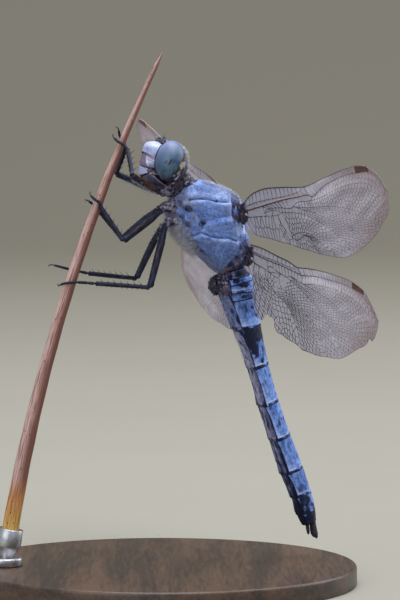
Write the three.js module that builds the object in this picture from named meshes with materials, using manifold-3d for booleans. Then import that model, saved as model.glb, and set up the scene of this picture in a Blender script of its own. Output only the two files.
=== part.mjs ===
// A male skimmer dragonfly at life size, hanging by its six legs from the tip of a cut rush stem,
// which a short metal rod holds over a round base.
//
// Millimetres, +Z up. The origin is the centre of the base's underside. The insect climbs steeply,
// its left side towards -Y. Everything on it is laid out in the body's own frame: X forward along
// the body, Y to its left and Z out of its back, with the zero in the middle of the thorax.

import * as THREE from 'three';
import { mergeVertices } from 'three/addons/utils/BufferGeometryUtils.js';
import Module from 'manifold-3d';

const wasm = await Module();
wasm.setup();

const degree = Math.PI / 180;
const vec = (x, y, z) => new THREE.Vector3(x, y, z);

// ---- Driving dimensions ------------------------------------------------------------------------

const gap = 0.1;                 // clear space between neighbouring pieces
const plateThickness = 0.5;      // wings, cut to the thinnest sheet that a solid keeps

const bodyPlace = vec(5.58, 2.03, 36.35);
const bodyPitch = 73.2;          // nose up from the level
const bodyYaw = -158.7;          // heading, from +X
const bodyRoll = -4.6;

const headPlace = vec(7.86, 0, -3.25);
const headNod = 56;              // the face bends down from the body's line by this much

// Trunk stations along the body's X: half width, then the heights of back, widest line and belly.
const thoraxStations = [
  [-4.76, 1.35, 2.1, 0.6, -0.85],
  [-4.4, 2.0, 2.45, 0.65, -1.25],
  [-3.4, 2.45, 2.6, 0.6, -1.9],
  [-2.0, 2.8, 2.72, 0.4, -2.8],
  [-0.5, 2.9, 2.86, 0.1, -3.7],
  [1.0, 2.88, 2.99, -0.3, -4.3],
  [2.2, 2.72, 2.86, -0.7, -4.42],
  [3.2, 2.45, 1.95, -1.1, -4.0],
  [4.3, 1.95, 0.5, -1.5, -3.3],
  [5.0, 1.3, -0.55, -1.7, -2.75],
  [5.4, 0.5, -1.2, -1.65, -2.1],
];
const abdomenStations = [
  [-4.9, 1.3, 1.7, 0.5, -0.9],
  [-5.7, 1.6, 2.12, 0.0, -1.25],
  [-6.6, 1.75, 2.3, -0.45, -1.45],
  [-7.6, 1.65, 2.15, -0.6, -1.55],
  [-8.7, 1.5, 2.0, -0.62, -1.5],
  [-11.1, 1.45, 1.75, -0.5, -1.15],
  [-13.4, 1.5, 1.53, -0.35, -0.85],
  [-15.3, 1.55, 1.42, -0.32, -0.63],
  [-19.3, 1.6, 1.38, -0.28, -0.65],
  [-23.1, 1.55, 1.62, -0.1, -0.5],
  [-26.8, 1.4, 1.95, 0.15, -0.4],
  [-29.5, 1.15, 2.08, 0.45, -0.02],
  [-31.4, 0.95, 2.0, 0.75, 0.05],
  [-32.6, 0.75, 1.8, 0.9, 0.4],
];
const thoraxBoxiness = 2.5;      // exponent of the section's superellipse: 2 is an ellipse
const abdomenBoxiness = 1.9;     // a little under 2, for the keel along the back
const segmentJoints = [-4.9, -5.7, -7.3, -11.1, -15.3, -19.3, -23.1, -26.8, -29.5, -31.4, -32.6];

// Wings: the root on the body, then how far the span sweeps forward, rises and twists, in degrees.
const wingPoses = {
  forewing_left: { root: vec(1.25, 2.37, 2.55), sweep: 9.0, rise: 5.75, twist: 1.4 },
  hindwing_left: { root: vec(-3.15, 2.16, 2.16), sweep: -1.6, rise: 1.7, twist: -9.1 },
  forewing_right: { root: vec(1.27, -2.28, 2.88), sweep: 12.2, rise: 2.6, twist: 3.6 },
  hindwing_right: { root: vec(-2.47, -2.17, 2.59), sweep: -5.4, rise: 4.4, twist: -7.5 },
};
// Outlines in the wing's plane: distance out along the span, distance back from the front edge's line.
const forewingFront = [
  [0.5, -0.1], [2.4, -0.68], [6.3, -1.04], [12.0, -0.6], [17.5, 0], [23, -0.22], [29, -0.4], [32.5, -0.15],
  [35.0, 1.05],
];
const forewingTip = [36.0, 2.75];
const forewingRear = [
  [35.2, 4.1], [31.5, 5.85], [27, 7.1], [21.5, 7.62], [15.7, 6.6], [9, 5.0], [2.6, 3.5], [0.6, 2.0],
];
const hindwingFront = [
  [0.5, -0.55], [3.6, -0.5], [8.5, -0.05], [14.3, 0.42], [18.5, 0.2], [24.5, 0.18], [29, 0.42], [32.0, 1.2],
];
const hindwingTip = [34.25, 3.5];
const hindwingRear = [
  [33.0, 5.05], [28.3, 6.9], [23, 8.45], [17, 9.3], [11, 9.9], [6, 9.9], [2.2, 9.0], [0.2, 7.2],
  [-0.6, 4.6], [0.3, 2.0],
];
// The left hind wing has lost a strip of its hind margin and a bite beside the body.
const tornRear = [
  [33.0, 5.0], [28.3, 6.8], [23, 8.4], [17, 8.85], [11.9, 8.8], [6.4, 8.0], [4.2, 7.75], [3.2, 6.9],
  [1.6, 7.3], [0.1, 6.5], [-0.6, 4.4], [0.3, 2.0],
];
const stigmaThickness = 0.7;
const forewingStigma = { from: 29.9, to: 33.0, front: -0.25, rear: 0.55 };
const hindwingStigma = { from: 28.0, to: 31.2, front: 0.4, rear: 1.15 };
const stigmaSlant = 0.25;        // the patch's outer front corner stands this much further back
const hingeForm = { centre: vec(0.1, 0.75, 0), size: vec(1.15, 1.35, 0.42) };

// The tail's appendages and the bulge under the second segment, in the body's frame.
const cercusEnds = [vec(-32.75, 0.36, 1.5), vec(-34.35, 0.42, 1.25)];
const cercusRadii = [[0, 0.2], [0.2, 0.3], [0.6, 0.29], [1, 0.12]];   // share of length, radius
const epiproctEnds = [vec(-32.75, 0, 0.82), vec(-33.7, 0, 0.62)];
const epiproctRadii = [[0, 0.2], [0.25, 0.28], [1, 0.2]];
const genitalForm = { centre: vec(-5.95, 0, -1.72), size: vec(0.95, 0.7, 0.68) };

// The head's forms are ellipsoids in the head's frame: X out of the face, Y to the left, Z to the crown.
const eyeForm = { centre: vec(0, 1.88, 0.1), size: vec(1.45, 1.7, 2.1) };
const eyeLean = 24;              // the crowns of the eyes lean in towards each other, in degrees
const faceForms = {              // each is kept between two levels
  frons: { centre: vec(1.4, 0, 0.65), size: vec(1.12, 1.45, 0.95), low: 0, high: 2 },
  clypeus: { centre: vec(1.5, 0, -0.5), size: vec(1.05, 1.6, 0.85), low: -1.15, high: -0.1 },
  labrum: { centre: vec(1.25, 0, -1.55), size: vec(1.05, 1.35, 0.75), low: -2.15, high: -1.25 },
};
const faceBack = 0.55;           // the face's forms stop here, against the head shell
const labiumForm = { centre: vec(0.1, 0, -2), size: vec(1.75, 1.7, 0.82) };
const labiumTop = -2.25;
const vertexForm = { centre: vec(0.72, 0, 1.62), size: vec(0.5, 0.55, 0.5) };
const shellForm = { centre: vec(-0.45, 0, -0.25), size: vec(1.9, 2.95, 2.1) };
const shellFloor = -2.15;
const antennaEnds = {
  antenna_left: [vec(1.0, 0.55, 1.5), vec(1.15, 1.5, 2.6)],
  antenna_right: [vec(1.05, -0.55, 1.4), vec(1.95, -1.1, 2.5)],
};
const antennaRadii = [[0, 0.28], [0.3, 0.26], [1, 0.25]];
const collarForm = { centre: vec(5.15, 0, -2.75), size: vec(1.35, 1.6, 1.75) };   // in the body's frame

// The rush: one cubic curve in the plane Y = stemDepth, from its sharp tip down to the cut foot.
const stemDepth = -1.63;
const stemBend = [[0.27, 53.78], [-7.81, 37.02], [-13.36, 19.01], [-15.88, 0.56]];
const stemCut = 0.93;            // share of the curve that is kept above the holder
const stemPoint = 0.05;          // radius at the tip
const stemRadii = [[0, 0.2], [0.1, 0.3], [0.3, 0.48], [0.65, 0.67], [1, 0.9]];   // share of curve, radius

// Legs: hip and knee in the body's frame. The foot's numbers are in the stem's own terms: share of the
// curve at the ankle and at the claws, the ankle's reach out of the axis and the claws' past it.
const legs = {
  leg_fore_left: {
    hip: vec(5.1, 1.2, -4.9), knee: vec(7.9, 3.3, -7.75), side: 1,
    ankle: 0.183, out: 0.74, claw: 0.174, past: 0.92,
  },
  leg_fore_right: {
    hip: vec(5.0, -1.2, -4.75), knee: vec(7.75, -2.4, -7.85), side: -1,
    ankle: 0.189, out: 0.56, claw: 0.158, past: 0.8,
  },
  leg_mid_left: {
    hip: vec(3.35, 1.3, -5.2), knee: vec(1.72, 2.25, -10.2), side: 1,
    ankle: 0.297, out: 0.3, claw: 0.285, past: 0.95,
  },
  leg_mid_right: {
    hip: vec(3.15, -1.3, -4.95), knee: vec(1.3, -2.1, -9.2), side: -1,
    ankle: 0.306, out: 0.35, claw: 0.296, past: 0.95,
  },
  leg_hind_left: {
    hip: vec(1.95, 1.3, -5.2), knee: vec(-3.42, 3.42, -9.2), side: 1,
    ankle: 0.432, out: 2.4, claw: 0.455, past: 0.95,
  },
  leg_hind_right: {
    hip: vec(1.3, -1.3, -5.15), knee: vec(-3.05, -2.1, -8.9), side: -1,
    ankle: 0.42, out: 1.41, claw: 0.425, past: 2.2,
  },
};
const coxaRise = 1.4;            // from the hip up into the trunk
const coxaSetBack = 0.1;
const coxaInset = 0.8;           // the socket's distance from the midline, as a share of the hip's
const coxaRadii = [[0, 0.35], [0.15, 0.52], [0.7, 0.5], [1, 0.36]];
const femurRadii = [[0, 0.2], [0.06, 0.3], [0.3, 0.44], [0.75, 0.42], [0.96, 0.36], [1, 0.22]];
const tibiaRadii = [[0, 0.16], [0.04, 0.27], [0.9, 0.25], [1, 0.2]];
const tarsusRadius = 0.25;

const baseRadius = 20;
const baseThickness = 2;
const baseBevel = 0.35;
const rodRadius = 0.6;
const cupRadius = 1.3;
const cupLip = 0.3;              // the cup's side starts this far below its floor
const cupDepth = 1.5;
const bossRadius = 1.8;
const bossHeight = 0.9;

// Facets: how many sides or rings the round forms get.
const thoraxRings = 14;
const thoraxPoints = 18;
const abdomenPoints = 14;
const ringLength = 1.5;          // an abdomen segment has a ring about this often
const eyeFacets = 16;
const formFacets = 14;
const smallFacets = 10;
const limbSides = 8;
const antennaSides = 6;
const tarsusSides = 6;
const tarsusSteps = 5;
const stemRings = 20;
const stemSides = 9;
const baseSides = 36;
const rodSides = 16;

// ---- Materials ---------------------------------------------------------------------------------

function finish(color, roughness, metalness = 0) {
  return new THREE.MeshStandardMaterial({ color, roughness, metalness });
}
const bloomBlue = finish(0x7d92bd, 0.75);
const faceBlue = finish(0xb2bde2, 0.6);
const eyeBlue = finish(0x5f7092, 0.25);
const darkShell = finish(0x24273a, 0.45);
const wingFilm = finish(0xb9b3bd, 0.3);
const rush = finish(0x96705f, 0.6);
const baseWood = finish(0x3a3532, 0.5);
const steel = finish(0xb8b8ba, 0.3, 0.9);

// ---- Shape helpers -----------------------------------------------------------------------------

// A closed skin over a row of rings that have equally many points, with a fan at each end.
function loft(rings) {
  const count = rings[0].length;
  const points = rings.flat();
  const faces = [];
  for (let r = 0; r + 1 < rings.length; r++) {
    for (let i = 0; i < count; i++) {
      const a = r * count + i;
      const b = r * count + (i + 1) % count;
      faces.push(a, b, a + count, b, b + count, a + count);
    }
  }
  const last = (rings.length - 1) * count;
  const centre = ring => ring.reduce((sum, p) => sum.add(p), vec(0, 0, 0)).divideScalar(count);
  const near = points.push(centre(rings[0])) - 1;
  const far = points.push(centre(rings.at(-1))) - 1;
  for (let i = 0; i < count; i++) {
    const j = (i + 1) % count;
    faces.push(near, j, i, far, last + i, last + j);
  }
  const shape = new THREE.BufferGeometry().setFromPoints(points);
  shape.setIndex(faces);
  return shape;
}

// Smooth values between a table's rows, the first column being the place along the body.
function between(rows) {
  const order = rows.slice().sort((a, b) => a[0] - b[0]);
  const places = order.map(row => row[0]);
  const values = order.flatMap(row => row.slice(1));
  const table = new THREE.CubicInterpolant(places, values, rows[0].length - 1);
  return place => Array.from(table.evaluate(place));
}

// A section across the body at x: a superellipse whose upper and lower halves have their own heights.
function section(x, [halfWidth, top, side, bottom], boxiness, points, grow = 0) {
  return Array.from({ length: points }, (_, i) => {
    const turn = 2 * Math.PI * i / points;
    const across = Math.sign(Math.cos(turn)) * Math.abs(Math.cos(turn)) ** (2 / boxiness);
    const up = Math.sign(Math.sin(turn)) * Math.abs(Math.sin(turn)) ** (2 / boxiness);
    const height = up > 0 ? top - side : side - bottom;
    return vec(x, across * (halfWidth + grow), side + up * (height + grow));
  });
}

// An ellipsoid about a centre, leaning about X, with rings in proportion to its sides.
function ellipsoid({ centre, size }, grow = 0, lean = 0, facets = formFacets) {
  const ball = new THREE.SphereGeometry(1, facets, Math.round(facets * 0.625));
  ball.rotateX(Math.PI / 2);
  ball.scale(size.x + grow, size.y + grow, size.z + grow);
  ball.rotateX(lean);
  return ball.translate(centre.x, centre.y, centre.z);
}

function box(low, high) {
  const size = high.clone().sub(low);
  const middle = high.clone().add(low).multiplyScalar(0.5);
  return new THREE.BoxGeometry(size.x, size.y, size.z).translate(middle.x, middle.y, middle.z);
}

// A spindle turned about the line between two points, through radii given at shares of its length.
function limb(from, to, radii, grow = 0, sides = limbSides) {
  const line = to.clone().sub(from);
  const length = line.length();
  const profile = radii.map(([share, radius]) => new THREE.Vector2(radius + grow, share * length));
  const foot = new THREE.Vector2(0, profile[0].y - grow);
  const head = new THREE.Vector2(0, profile.at(-1).y + grow);
  const turned = new THREE.LatheGeometry([foot, ...profile, head], sides);
  turned.applyQuaternion(new THREE.Quaternion().setFromUnitVectors(vec(0, 1, 0), line.normalize()));
  return turned.translate(from.x, from.y, from.z);
}

const mergeDistance = 1e-5;
function solid(shape) {
  const bare = shape.clone();
  bare.deleteAttribute('normal');
  bare.deleteAttribute('uv');
  const merged = mergeVertices(bare, mergeDistance);
  return new wasm.Manifold(new wasm.Mesh({
    numProp: 3,
    vertProperties: new Float32Array(merged.attributes.position.array),
    triVerts: new Uint32Array(merged.index.array),
  }));
}

function geometry(manifold) {
  const data = manifold.getMesh();
  const shape = new THREE.BufferGeometry();
  shape.setAttribute('position', new THREE.BufferAttribute(new Float32Array(data.vertProperties), 3));
  shape.setIndex(new THREE.BufferAttribute(new Uint32Array(data.triVerts), 1));
  shape.computeVertexNormals();
  return shape;
}

function without(shape, ...tools) {
  return geometry(tools.reduce((rest, tool) => rest.subtract(solid(tool)), solid(shape)));
}

function joined(first, ...others) {
  return geometry(others.reduce((sum, shape) => sum.add(solid(shape)), solid(first)));
}

const within = (shape, limits) => geometry(solid(shape).intersect(solid(limits)));

function piece(parent, name, shape, material) {
  if (!shape.attributes.normal) shape.computeVertexNormals();
  const mesh = new THREE.Mesh(shape, material);
  mesh.name = name;
  parent.add(mesh);
  return mesh;
}

// ---- The groups --------------------------------------------------------------------------------

const model = new THREE.Group();
const body = new THREE.Group();
body.position.copy(bodyPlace);
body.rotation.set(bodyRoll * degree, -bodyPitch * degree, bodyYaw * degree, 'ZYX');
model.add(body);
const head = new THREE.Group();
head.position.copy(headPlace);
head.rotation.y = headNod * degree;
body.add(head);
model.updateMatrixWorld(true);

// ---- Thorax and abdomen ------------------------------------------------------------------------

// Rings evenly spaced from one place along the body to another, through a table of stations.
function trunk(stations, from, to, boxiness, rings, points, grow = 0) {
  const at = between(stations);
  return loft(Array.from({ length: rings + 1 }, (_, i) => {
    const x = from + (to - from) * i / rings;
    return section(x, at(x), boxiness, points, grow);
  }));
}

function thoraxShape(grow = 0) {
  const rear = thoraxStations[0][0] - grow;
  const front = thoraxStations.at(-1)[0] + grow;
  return trunk(thoraxStations, rear, front, thoraxBoxiness, thoraxRings, thoraxPoints, grow);
}
piece(body, 'thorax', thoraxShape(), bloomBlue);

function abdomenSegment(number, grow = 0) {
  const front = segmentJoints[number - 1] - gap / 2 + grow;
  const back = segmentJoints[number] + gap / 2 - grow;
  const rings = Math.max(2, Math.round((front - back) / ringLength));
  return trunk(abdomenStations, back, front, abdomenBoxiness, rings, abdomenPoints, grow);
}

for (let number = 1; number < segmentJoints.length; number++) {
  piece(body, `abdomen_${number}`, abdomenSegment(number), bloomBlue);
}

const genitalRoom = [abdomenSegment(1, gap), abdomenSegment(2, gap), thoraxShape(gap)];
piece(body, 'accessory_genitalia', without(ellipsoid(genitalForm), ...genitalRoom), darkShell);

for (const [side, sign] of [['left', 1], ['right', -1]]) {
  const [root, end] = cercusEnds.map(point => vec(point.x, sign * point.y, point.z));
  piece(body, `cercus_${side}`, limb(root, end, cercusRadii), darkShell);
}
piece(body, 'epiproct', limb(...epiproctEnds, epiproctRadii), darkShell);

// ---- Wings -------------------------------------------------------------------------------------

// A rounded outline through the given points, pressed out to a sheet about its own plane.
function sheet(points, thickness, smooth = true) {
  const corners = points.map(([u, v]) => vec(u, v, 0));
  const curve = new THREE.CatmullRomCurve3(corners, true, 'centripetal');
  const rim = smooth ? curve.getPoints(2 * corners.length) : corners;
  const outline = new THREE.Shape(rim.map(p => new THREE.Vector2(p.x, p.y)));
  const plate = new THREE.ExtrudeGeometry(outline, { depth: thickness, bevelEnabled: false });
  return plate.translate(0, 0, -thickness / 2);
}

// The dark patch near the wing's tip: a slanting four-sided plate.
function stigmaPlate({ from, to, front, rear }) {
  const outer = [[to, front + stigmaSlant], [to - stigmaSlant, rear + stigmaSlant / 2]];
  const corners = [[from, front], ...outer, [from, rear]];
  return sheet(corners, stigmaThickness, false);
}

function wing(name, front, tip, rear, stigma) {
  const { root, sweep, rise, twist } = wingPoses[name];
  const side = Math.sign(root.y);
  const blade = sheet([...front, tip, ...rear], plateThickness);
  const hinge = ellipsoid(hingeForm, 0, 0, smallFacets);
  const [s, r, t] = [sweep * degree, rise * degree, twist * degree];
  const span = vec(Math.sin(s) * Math.cos(r), side * Math.cos(s) * Math.cos(r), Math.sin(r));
  const level = vec(-Math.cos(s), side * Math.sin(s), 0);
  const up = span.clone().cross(level).multiplyScalar(side);
  const chord = level.multiplyScalar(Math.cos(t)).addScaledVector(up, Math.sin(t));
  const stance = new THREE.Matrix4().makeBasis(span, chord, span.clone().cross(chord)).setPosition(root);
  const whole = joined(blade, stigmaPlate(stigma), hinge).applyMatrix4(stance);
  piece(body, name, without(whole, thoraxShape(gap), abdomenSegment(1, gap)), wingFilm);
}

wing('forewing_left', forewingFront, forewingTip, forewingRear, forewingStigma);
wing('forewing_right', forewingFront, forewingTip, forewingRear, forewingStigma);
wing('hindwing_left', hindwingFront, hindwingTip, tornRear, hindwingStigma);
wing('hindwing_right', hindwingFront, hindwingTip, hindwingRear, hindwingStigma);

// ---- Head --------------------------------------------------------------------------------------

function eye(sign, grow, facets) {
  const { centre, size } = eyeForm;
  const place = vec(centre.x, sign * centre.y, centre.z);
  return ellipsoid({ centre: place, size }, grow, sign * eyeLean * degree, facets);
}

// Half of the space round the head, from the midline out, and a slab of it between two levels.
const headRoom = 5;
function half(sign) {
  const [inner, outer] = [sign * gap / 2, sign * headRoom];
  return box(
    vec(-headRoom, Math.min(inner, outer), -headRoom),
    vec(headRoom, Math.max(inner, outer), headRoom),
  );
}
function slab(low, high, back = -headRoom, front = headRoom) {
  return box(vec(back, -headRoom, low), vec(front, headRoom, high));
}

for (const [side, sign] of [['left', 1], ['right', -1]]) {
  piece(head, `eye_${side}`, within(eye(sign, 0, eyeFacets), half(sign)), eyeBlue);
}
const eyes = [eye(1, gap, formFacets), eye(-1, gap, formFacets)];

for (const [name, form] of Object.entries(faceForms)) {
  const part = within(ellipsoid(form), slab(form.low, form.high, faceBack));
  piece(head, name, without(part, ...eyes), name === 'labrum' ? eyeBlue : faceBlue);
}

const labium = within(ellipsoid(labiumForm), slab(-headRoom, labiumTop));
piece(head, 'labium', without(labium, ...eyes), darkShell);

const vertex = (grow = 0) => ellipsoid(vertexForm, grow, 0, smallFacets);
const fronsRoom = ellipsoid(faceForms.frons, gap);
piece(head, 'vertex', without(vertex(), ...eyes, fronsRoom), darkShell);

const shell = within(ellipsoid(shellForm), slab(shellFloor, headRoom, -headRoom, faceBack - gap));
piece(head, 'head_shell', without(shell, ...eyes, vertex(gap)), darkShell);

for (const [name, [root, end]] of Object.entries(antennaEnds)) {
  const feeler = limb(root, end, antennaRadii, 0, antennaSides);
  piece(head, name, without(feeler, ...eyes, vertex(gap), fronsRoom), darkShell);
}

// The collar between head and thorax: a lens that both are cut out of.
const intoBody = new THREE.Matrix4().compose(head.position, head.quaternion, vec(1, 1, 1));
const headInBody = [shellForm, labiumForm].map(form => ellipsoid(form, gap).applyMatrix4(intoBody));
piece(body, 'prothorax', without(ellipsoid(collarForm), ...headInBody, thoraxShape(gap)), darkShell);

// ---- Stem and stand ----------------------------------------------------------------------------

const bend = new THREE.CubicBezierCurve3(...stemBend.map(([x, z]) => vec(x, stemDepth, z)));
function stemRadius(share) {
  const i = Math.max(1, stemRadii.findIndex(([s]) => s >= share));
  const [[s0, r0], [s1, r1]] = [stemRadii[i - 1], stemRadii[i]];
  return THREE.MathUtils.mapLinear(share, s0, s1, r0, r1);
}

// The stem's own axes at a share of its curve: along it, across it towards the insect, and to the left.
function stemFrame(share) {
  const along = bend.getTangent(share);
  const across = vec(0, 1, 0).cross(along).normalize();
  return { at: bend.getPoint(share), across: across.x > 0 ? across : across.negate(), near: vec(0, -1, 0) };
}

function stemRing(share, radius, sides) {
  const { at, across, near } = stemFrame(share);
  return Array.from({ length: sides }, (_, i) => {
    const turn = 2 * Math.PI * i / sides;
    const spoke = across.clone().multiplyScalar(Math.cos(turn)).addScaledVector(near, Math.sin(turn));
    return at.clone().addScaledVector(spoke, radius);
  });
}

function stemShape(grow = 0) {
  return loft(Array.from({ length: stemRings + 1 }, (_, i) => {
    const share = stemCut * i / stemRings;
    return stemRing(share, (i === 0 ? stemPoint : stemRadius(share)) + grow, stemSides);
  }));
}
piece(model, 'stem', stemShape(), rush);

// The base is a turned disc with a softened upper edge.
const baseSoften = baseBevel * 0.3;
const baseProfile = [
  [0, 0], [baseRadius, 0], [baseRadius, baseThickness - baseBevel],
  [baseRadius - baseSoften, baseThickness - baseSoften],
  [baseRadius - baseBevel, baseThickness], [0, baseThickness],
].map(([x, y]) => new THREE.Vector2(x, y));
const base = piece(model, 'stand_base', new THREE.LatheGeometry(baseProfile, baseSides), baseWood);
base.rotation.x = Math.PI / 2;

// The rod follows the stem's cut end down to the base and opens into a cup that the end sits in.
const cutEnd = stemFrame(stemCut).at;
const slope = bend.getTangent(stemCut).negate();
const cupFloor = cutEnd.clone().addScaledVector(slope, -gap);
const rodLength = (cupFloor.z - baseThickness - gap) / slope.z;
const boreRadius = stemRadius(stemCut) + gap;
const rodProfile = (grow = 0) => [
  [0, -rodLength - grow], [rodRadius + grow, -rodLength - grow], [rodRadius + grow, -cupRadius],
  [cupRadius, -cupLip], [cupRadius, cupDepth], [boreRadius, cupDepth], [boreRadius, 0], [0, 0],
].map(([x, y]) => new THREE.Vector2(x, y));
const rod = piece(model, 'stand_rod', new THREE.LatheGeometry(rodProfile(), rodSides), steel);
rod.position.copy(cupFloor);
rod.quaternion.setFromUnitVectors(vec(0, 1, 0), slope);
rod.updateMatrix();

// A low boss on the base steadies the rod's foot.
const bossProfile = [
  [0, 0], [bossRadius, 0], [bossRadius, bossHeight - baseBevel], [bossRadius - baseBevel, bossHeight],
  [0, bossHeight],
].map(([x, y]) => new THREE.Vector2(x, y));
const boss = new THREE.LatheGeometry(bossProfile, rodSides).rotateX(Math.PI / 2);
const rodFoot = cupFloor.clone().addScaledVector(slope, -rodLength);
boss.translate(rodFoot.x, rodFoot.y, baseThickness + gap);
const rodRoom = new THREE.LatheGeometry(rodProfile(gap), rodSides).applyMatrix4(rod.matrix);
piece(model, 'stand_boss', without(boss, rodRoom), steel);

// ---- Legs --------------------------------------------------------------------------------------

const toBody = body.matrixWorld.clone().invert();

// The foot's path: in past the ankle, over the stem on the leg's own side, and hooked beyond it.
// Each stop is a share of the way, a reach out of the stem's axis and how far round the side it keeps.
function footPath({ side, ankle, out, claw, past }) {
  const stops = [[0, out, 0.9], [0.4, 0.45 * Math.min(out, 1), 1], [0.7, -0.45, 1], [1, -past, 0.35]];
  return stops.map(([way, reach, cling]) => {
    const share = THREE.MathUtils.lerp(ankle, claw, way);
    const { at, across, near } = stemFrame(share);
    const clear = stemRadius(share) + tarsusRadius + gap;
    return at.addScaledVector(across, reach).addScaledVector(near, side * cling * clear).applyMatrix4(toBody);
  });
}

// The foot's section is as wide across its flats as the foot is thick.
const footCorner = tarsusRadius / Math.cos(Math.PI / tarsusSides);
const footSection = new THREE.Shape(Array.from({ length: tarsusSides }, (_, i) => {
  const turn = 2 * Math.PI * i / tarsusSides;
  return new THREE.Vector2(Math.cos(turn), Math.sin(turn)).multiplyScalar(footCorner);
}));

function footShape(path) {
  const extrudePath = new THREE.CatmullRomCurve3(path);
  return new THREE.ExtrudeGeometry(footSection, { extrudePath, steps: tarsusSteps, bevelEnabled: false });
}

const stemRoom = stemShape(gap / 2).applyMatrix4(toBody);
const collarRoom = ellipsoid(collarForm, gap);
for (const [name, leg] of Object.entries(legs)) {
  const { hip, knee } = leg;
  const path = footPath(leg);
  const socket = vec(hip.x - coxaSetBack, coxaInset * hip.y, hip.z + coxaRise);
  const coxa = (grow = 0) => limb(socket, hip, coxaRadii, grow);
  const femur = (grow = 0) => limb(hip, knee, femurRadii, grow);
  const tibia = (grow = 0) => limb(knee, path[0], tibiaRadii, grow);
  piece(body, `${name}_coxa`, without(coxa(), thoraxShape(gap), collarRoom, ...headInBody), darkShell);
  piece(body, `${name}_femur`, without(femur(), coxa(gap), ...headInBody), darkShell);
  piece(body, `${name}_tibia`, without(tibia(), femur(gap)), darkShell);
  piece(body, `${name}_tarsus`, without(footShape(path), tibia(gap), stemRoom), darkShell);
}

model.updateMatrixWorld(true);
export default model;
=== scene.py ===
"""A blue male skimmer dragonfly at life size, hanging by its six legs from the tip of a cut rush stem.

Shapes are worked out in millimetres, mostly in the insect's own frame: X forward along the body, Y to
its left and Z out of its back. The thorax's solid in the frame says where that frame stands.
"""
import bpy
import numpy as np
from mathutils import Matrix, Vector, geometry


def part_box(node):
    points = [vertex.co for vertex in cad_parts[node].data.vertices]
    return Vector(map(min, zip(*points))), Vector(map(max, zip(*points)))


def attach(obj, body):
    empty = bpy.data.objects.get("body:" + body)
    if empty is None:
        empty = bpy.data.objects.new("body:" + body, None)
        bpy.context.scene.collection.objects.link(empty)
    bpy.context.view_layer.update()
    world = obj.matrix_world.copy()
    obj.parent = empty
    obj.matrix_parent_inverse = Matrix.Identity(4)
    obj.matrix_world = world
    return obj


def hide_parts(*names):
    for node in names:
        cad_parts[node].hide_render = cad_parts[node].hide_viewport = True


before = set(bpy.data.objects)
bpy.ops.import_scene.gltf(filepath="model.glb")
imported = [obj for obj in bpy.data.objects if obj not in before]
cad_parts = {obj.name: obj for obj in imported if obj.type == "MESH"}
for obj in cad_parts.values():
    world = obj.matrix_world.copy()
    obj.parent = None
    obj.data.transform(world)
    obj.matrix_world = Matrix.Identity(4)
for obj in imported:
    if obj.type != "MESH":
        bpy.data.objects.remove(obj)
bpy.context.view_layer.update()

MM = 0.001
TAU = 2 * np.pi


# ---- Frames --------------------------------------------------------------------------------------

def turn(axis, degrees):
    """The 3x3 matrix that turns about X (0), Y (1) or Z (2)."""
    c, s = np.cos(np.radians(degrees)), np.sin(np.radians(degrees))
    matrix = np.eye(3)
    a, b = (axis + 1) % 3, (axis + 2) % 3
    matrix[a, a] = matrix[b, b] = c
    matrix[a, b], matrix[b, a] = -s, s
    return matrix


BODY_TURN = turn(2, -158.7) @ turn(1, -73.2) @ turn(0, -4.6)
HEAD_TURN = turn(1, 56)
HEAD_PLACE = np.array([7.86, 0, -3.25])


def unit(vectors):
    """The vectors at length one."""
    return vectors / np.maximum(np.linalg.norm(vectors, axis=-1, keepdims=True), 1e-12)


def head_to_body(points):
    """From the head's frame, X out of the face and Z to the crown, to the body's."""
    return points @ HEAD_TURN.T + HEAD_PLACE


# ---- Curves and masks ----------------------------------------------------------------------------

def through(table, x):
    """Smooth values at x from rows of place and values: between two rows a cubic whose end slopes are the
    slopes of the neighbouring rows."""
    rows = np.array(sorted(table, key=lambda row: row[0]), float)
    place, value = rows[:, 0], rows[:, 1:]
    slope = np.gradient(value, place, axis=0)
    x = np.asarray(x, float)
    i = np.clip(np.searchsorted(place, x) - 1, 0, len(place) - 2)
    width = (place[i + 1] - place[i])[..., None]
    t = (x[..., None] - place[i][..., None]) / width
    return ((2 * t**3 - 3 * t**2 + 1) * value[i] + (t**3 - 2 * t**2 + t) * width * slope[i]
            + (3 * t**2 - 2 * t**3) * value[i + 1] + (t**3 - t**2) * width * slope[i + 1])


def flow(points, count):
    """A smooth curve through points, at count places evenly spread over its chord length."""
    points = np.array(points, float)
    steps = np.linalg.norm(np.diff(points, axis=0), axis=1)
    place = np.concatenate([[0], np.cumsum(steps)])
    table = np.column_stack([place, points])
    return through(table, np.linspace(0, place[-1], count))


def line_distance(p, line):
    """The distance of points of the plane from a line of straight stretches."""
    line = np.array(line, float)
    best = np.full(p.shape[:-1], np.inf)
    for a, b in zip(line[:-1], line[1:]):
        along = np.clip(((p - a) @ (b - a)) / ((b - a) @ (b - a)), 0, 1)
        best = np.minimum(best, np.linalg.norm(p - a - along[..., None] * (b - a), axis=-1))
    return best


def bell(distance, width):
    """1 at no distance, falling off as a bell of that half width."""
    return np.exp(-(distance / width) ** 2)


def ramp(x, low, high):
    """0 below low and 1 above high, with a smooth step between."""
    t = np.clip((x - low) / (high - low), 0, 1)
    return t * t * (3 - 2 * t)


def ripple(points, size, seed):
    """A seeded gentle unevenness between about -1 and 1: sines in random directions, of that wavelength."""
    rng = np.random.default_rng(seed)
    waves = unit(rng.normal(size=(7, 3))) * TAU / size * rng.uniform(0.6, 1.5, (7, 1))
    return np.sin(points @ waves.T + rng.uniform(0, TAU, 7)).mean(-1) * 2


# ---- Meshes --------------------------------------------------------------------------------------

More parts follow.
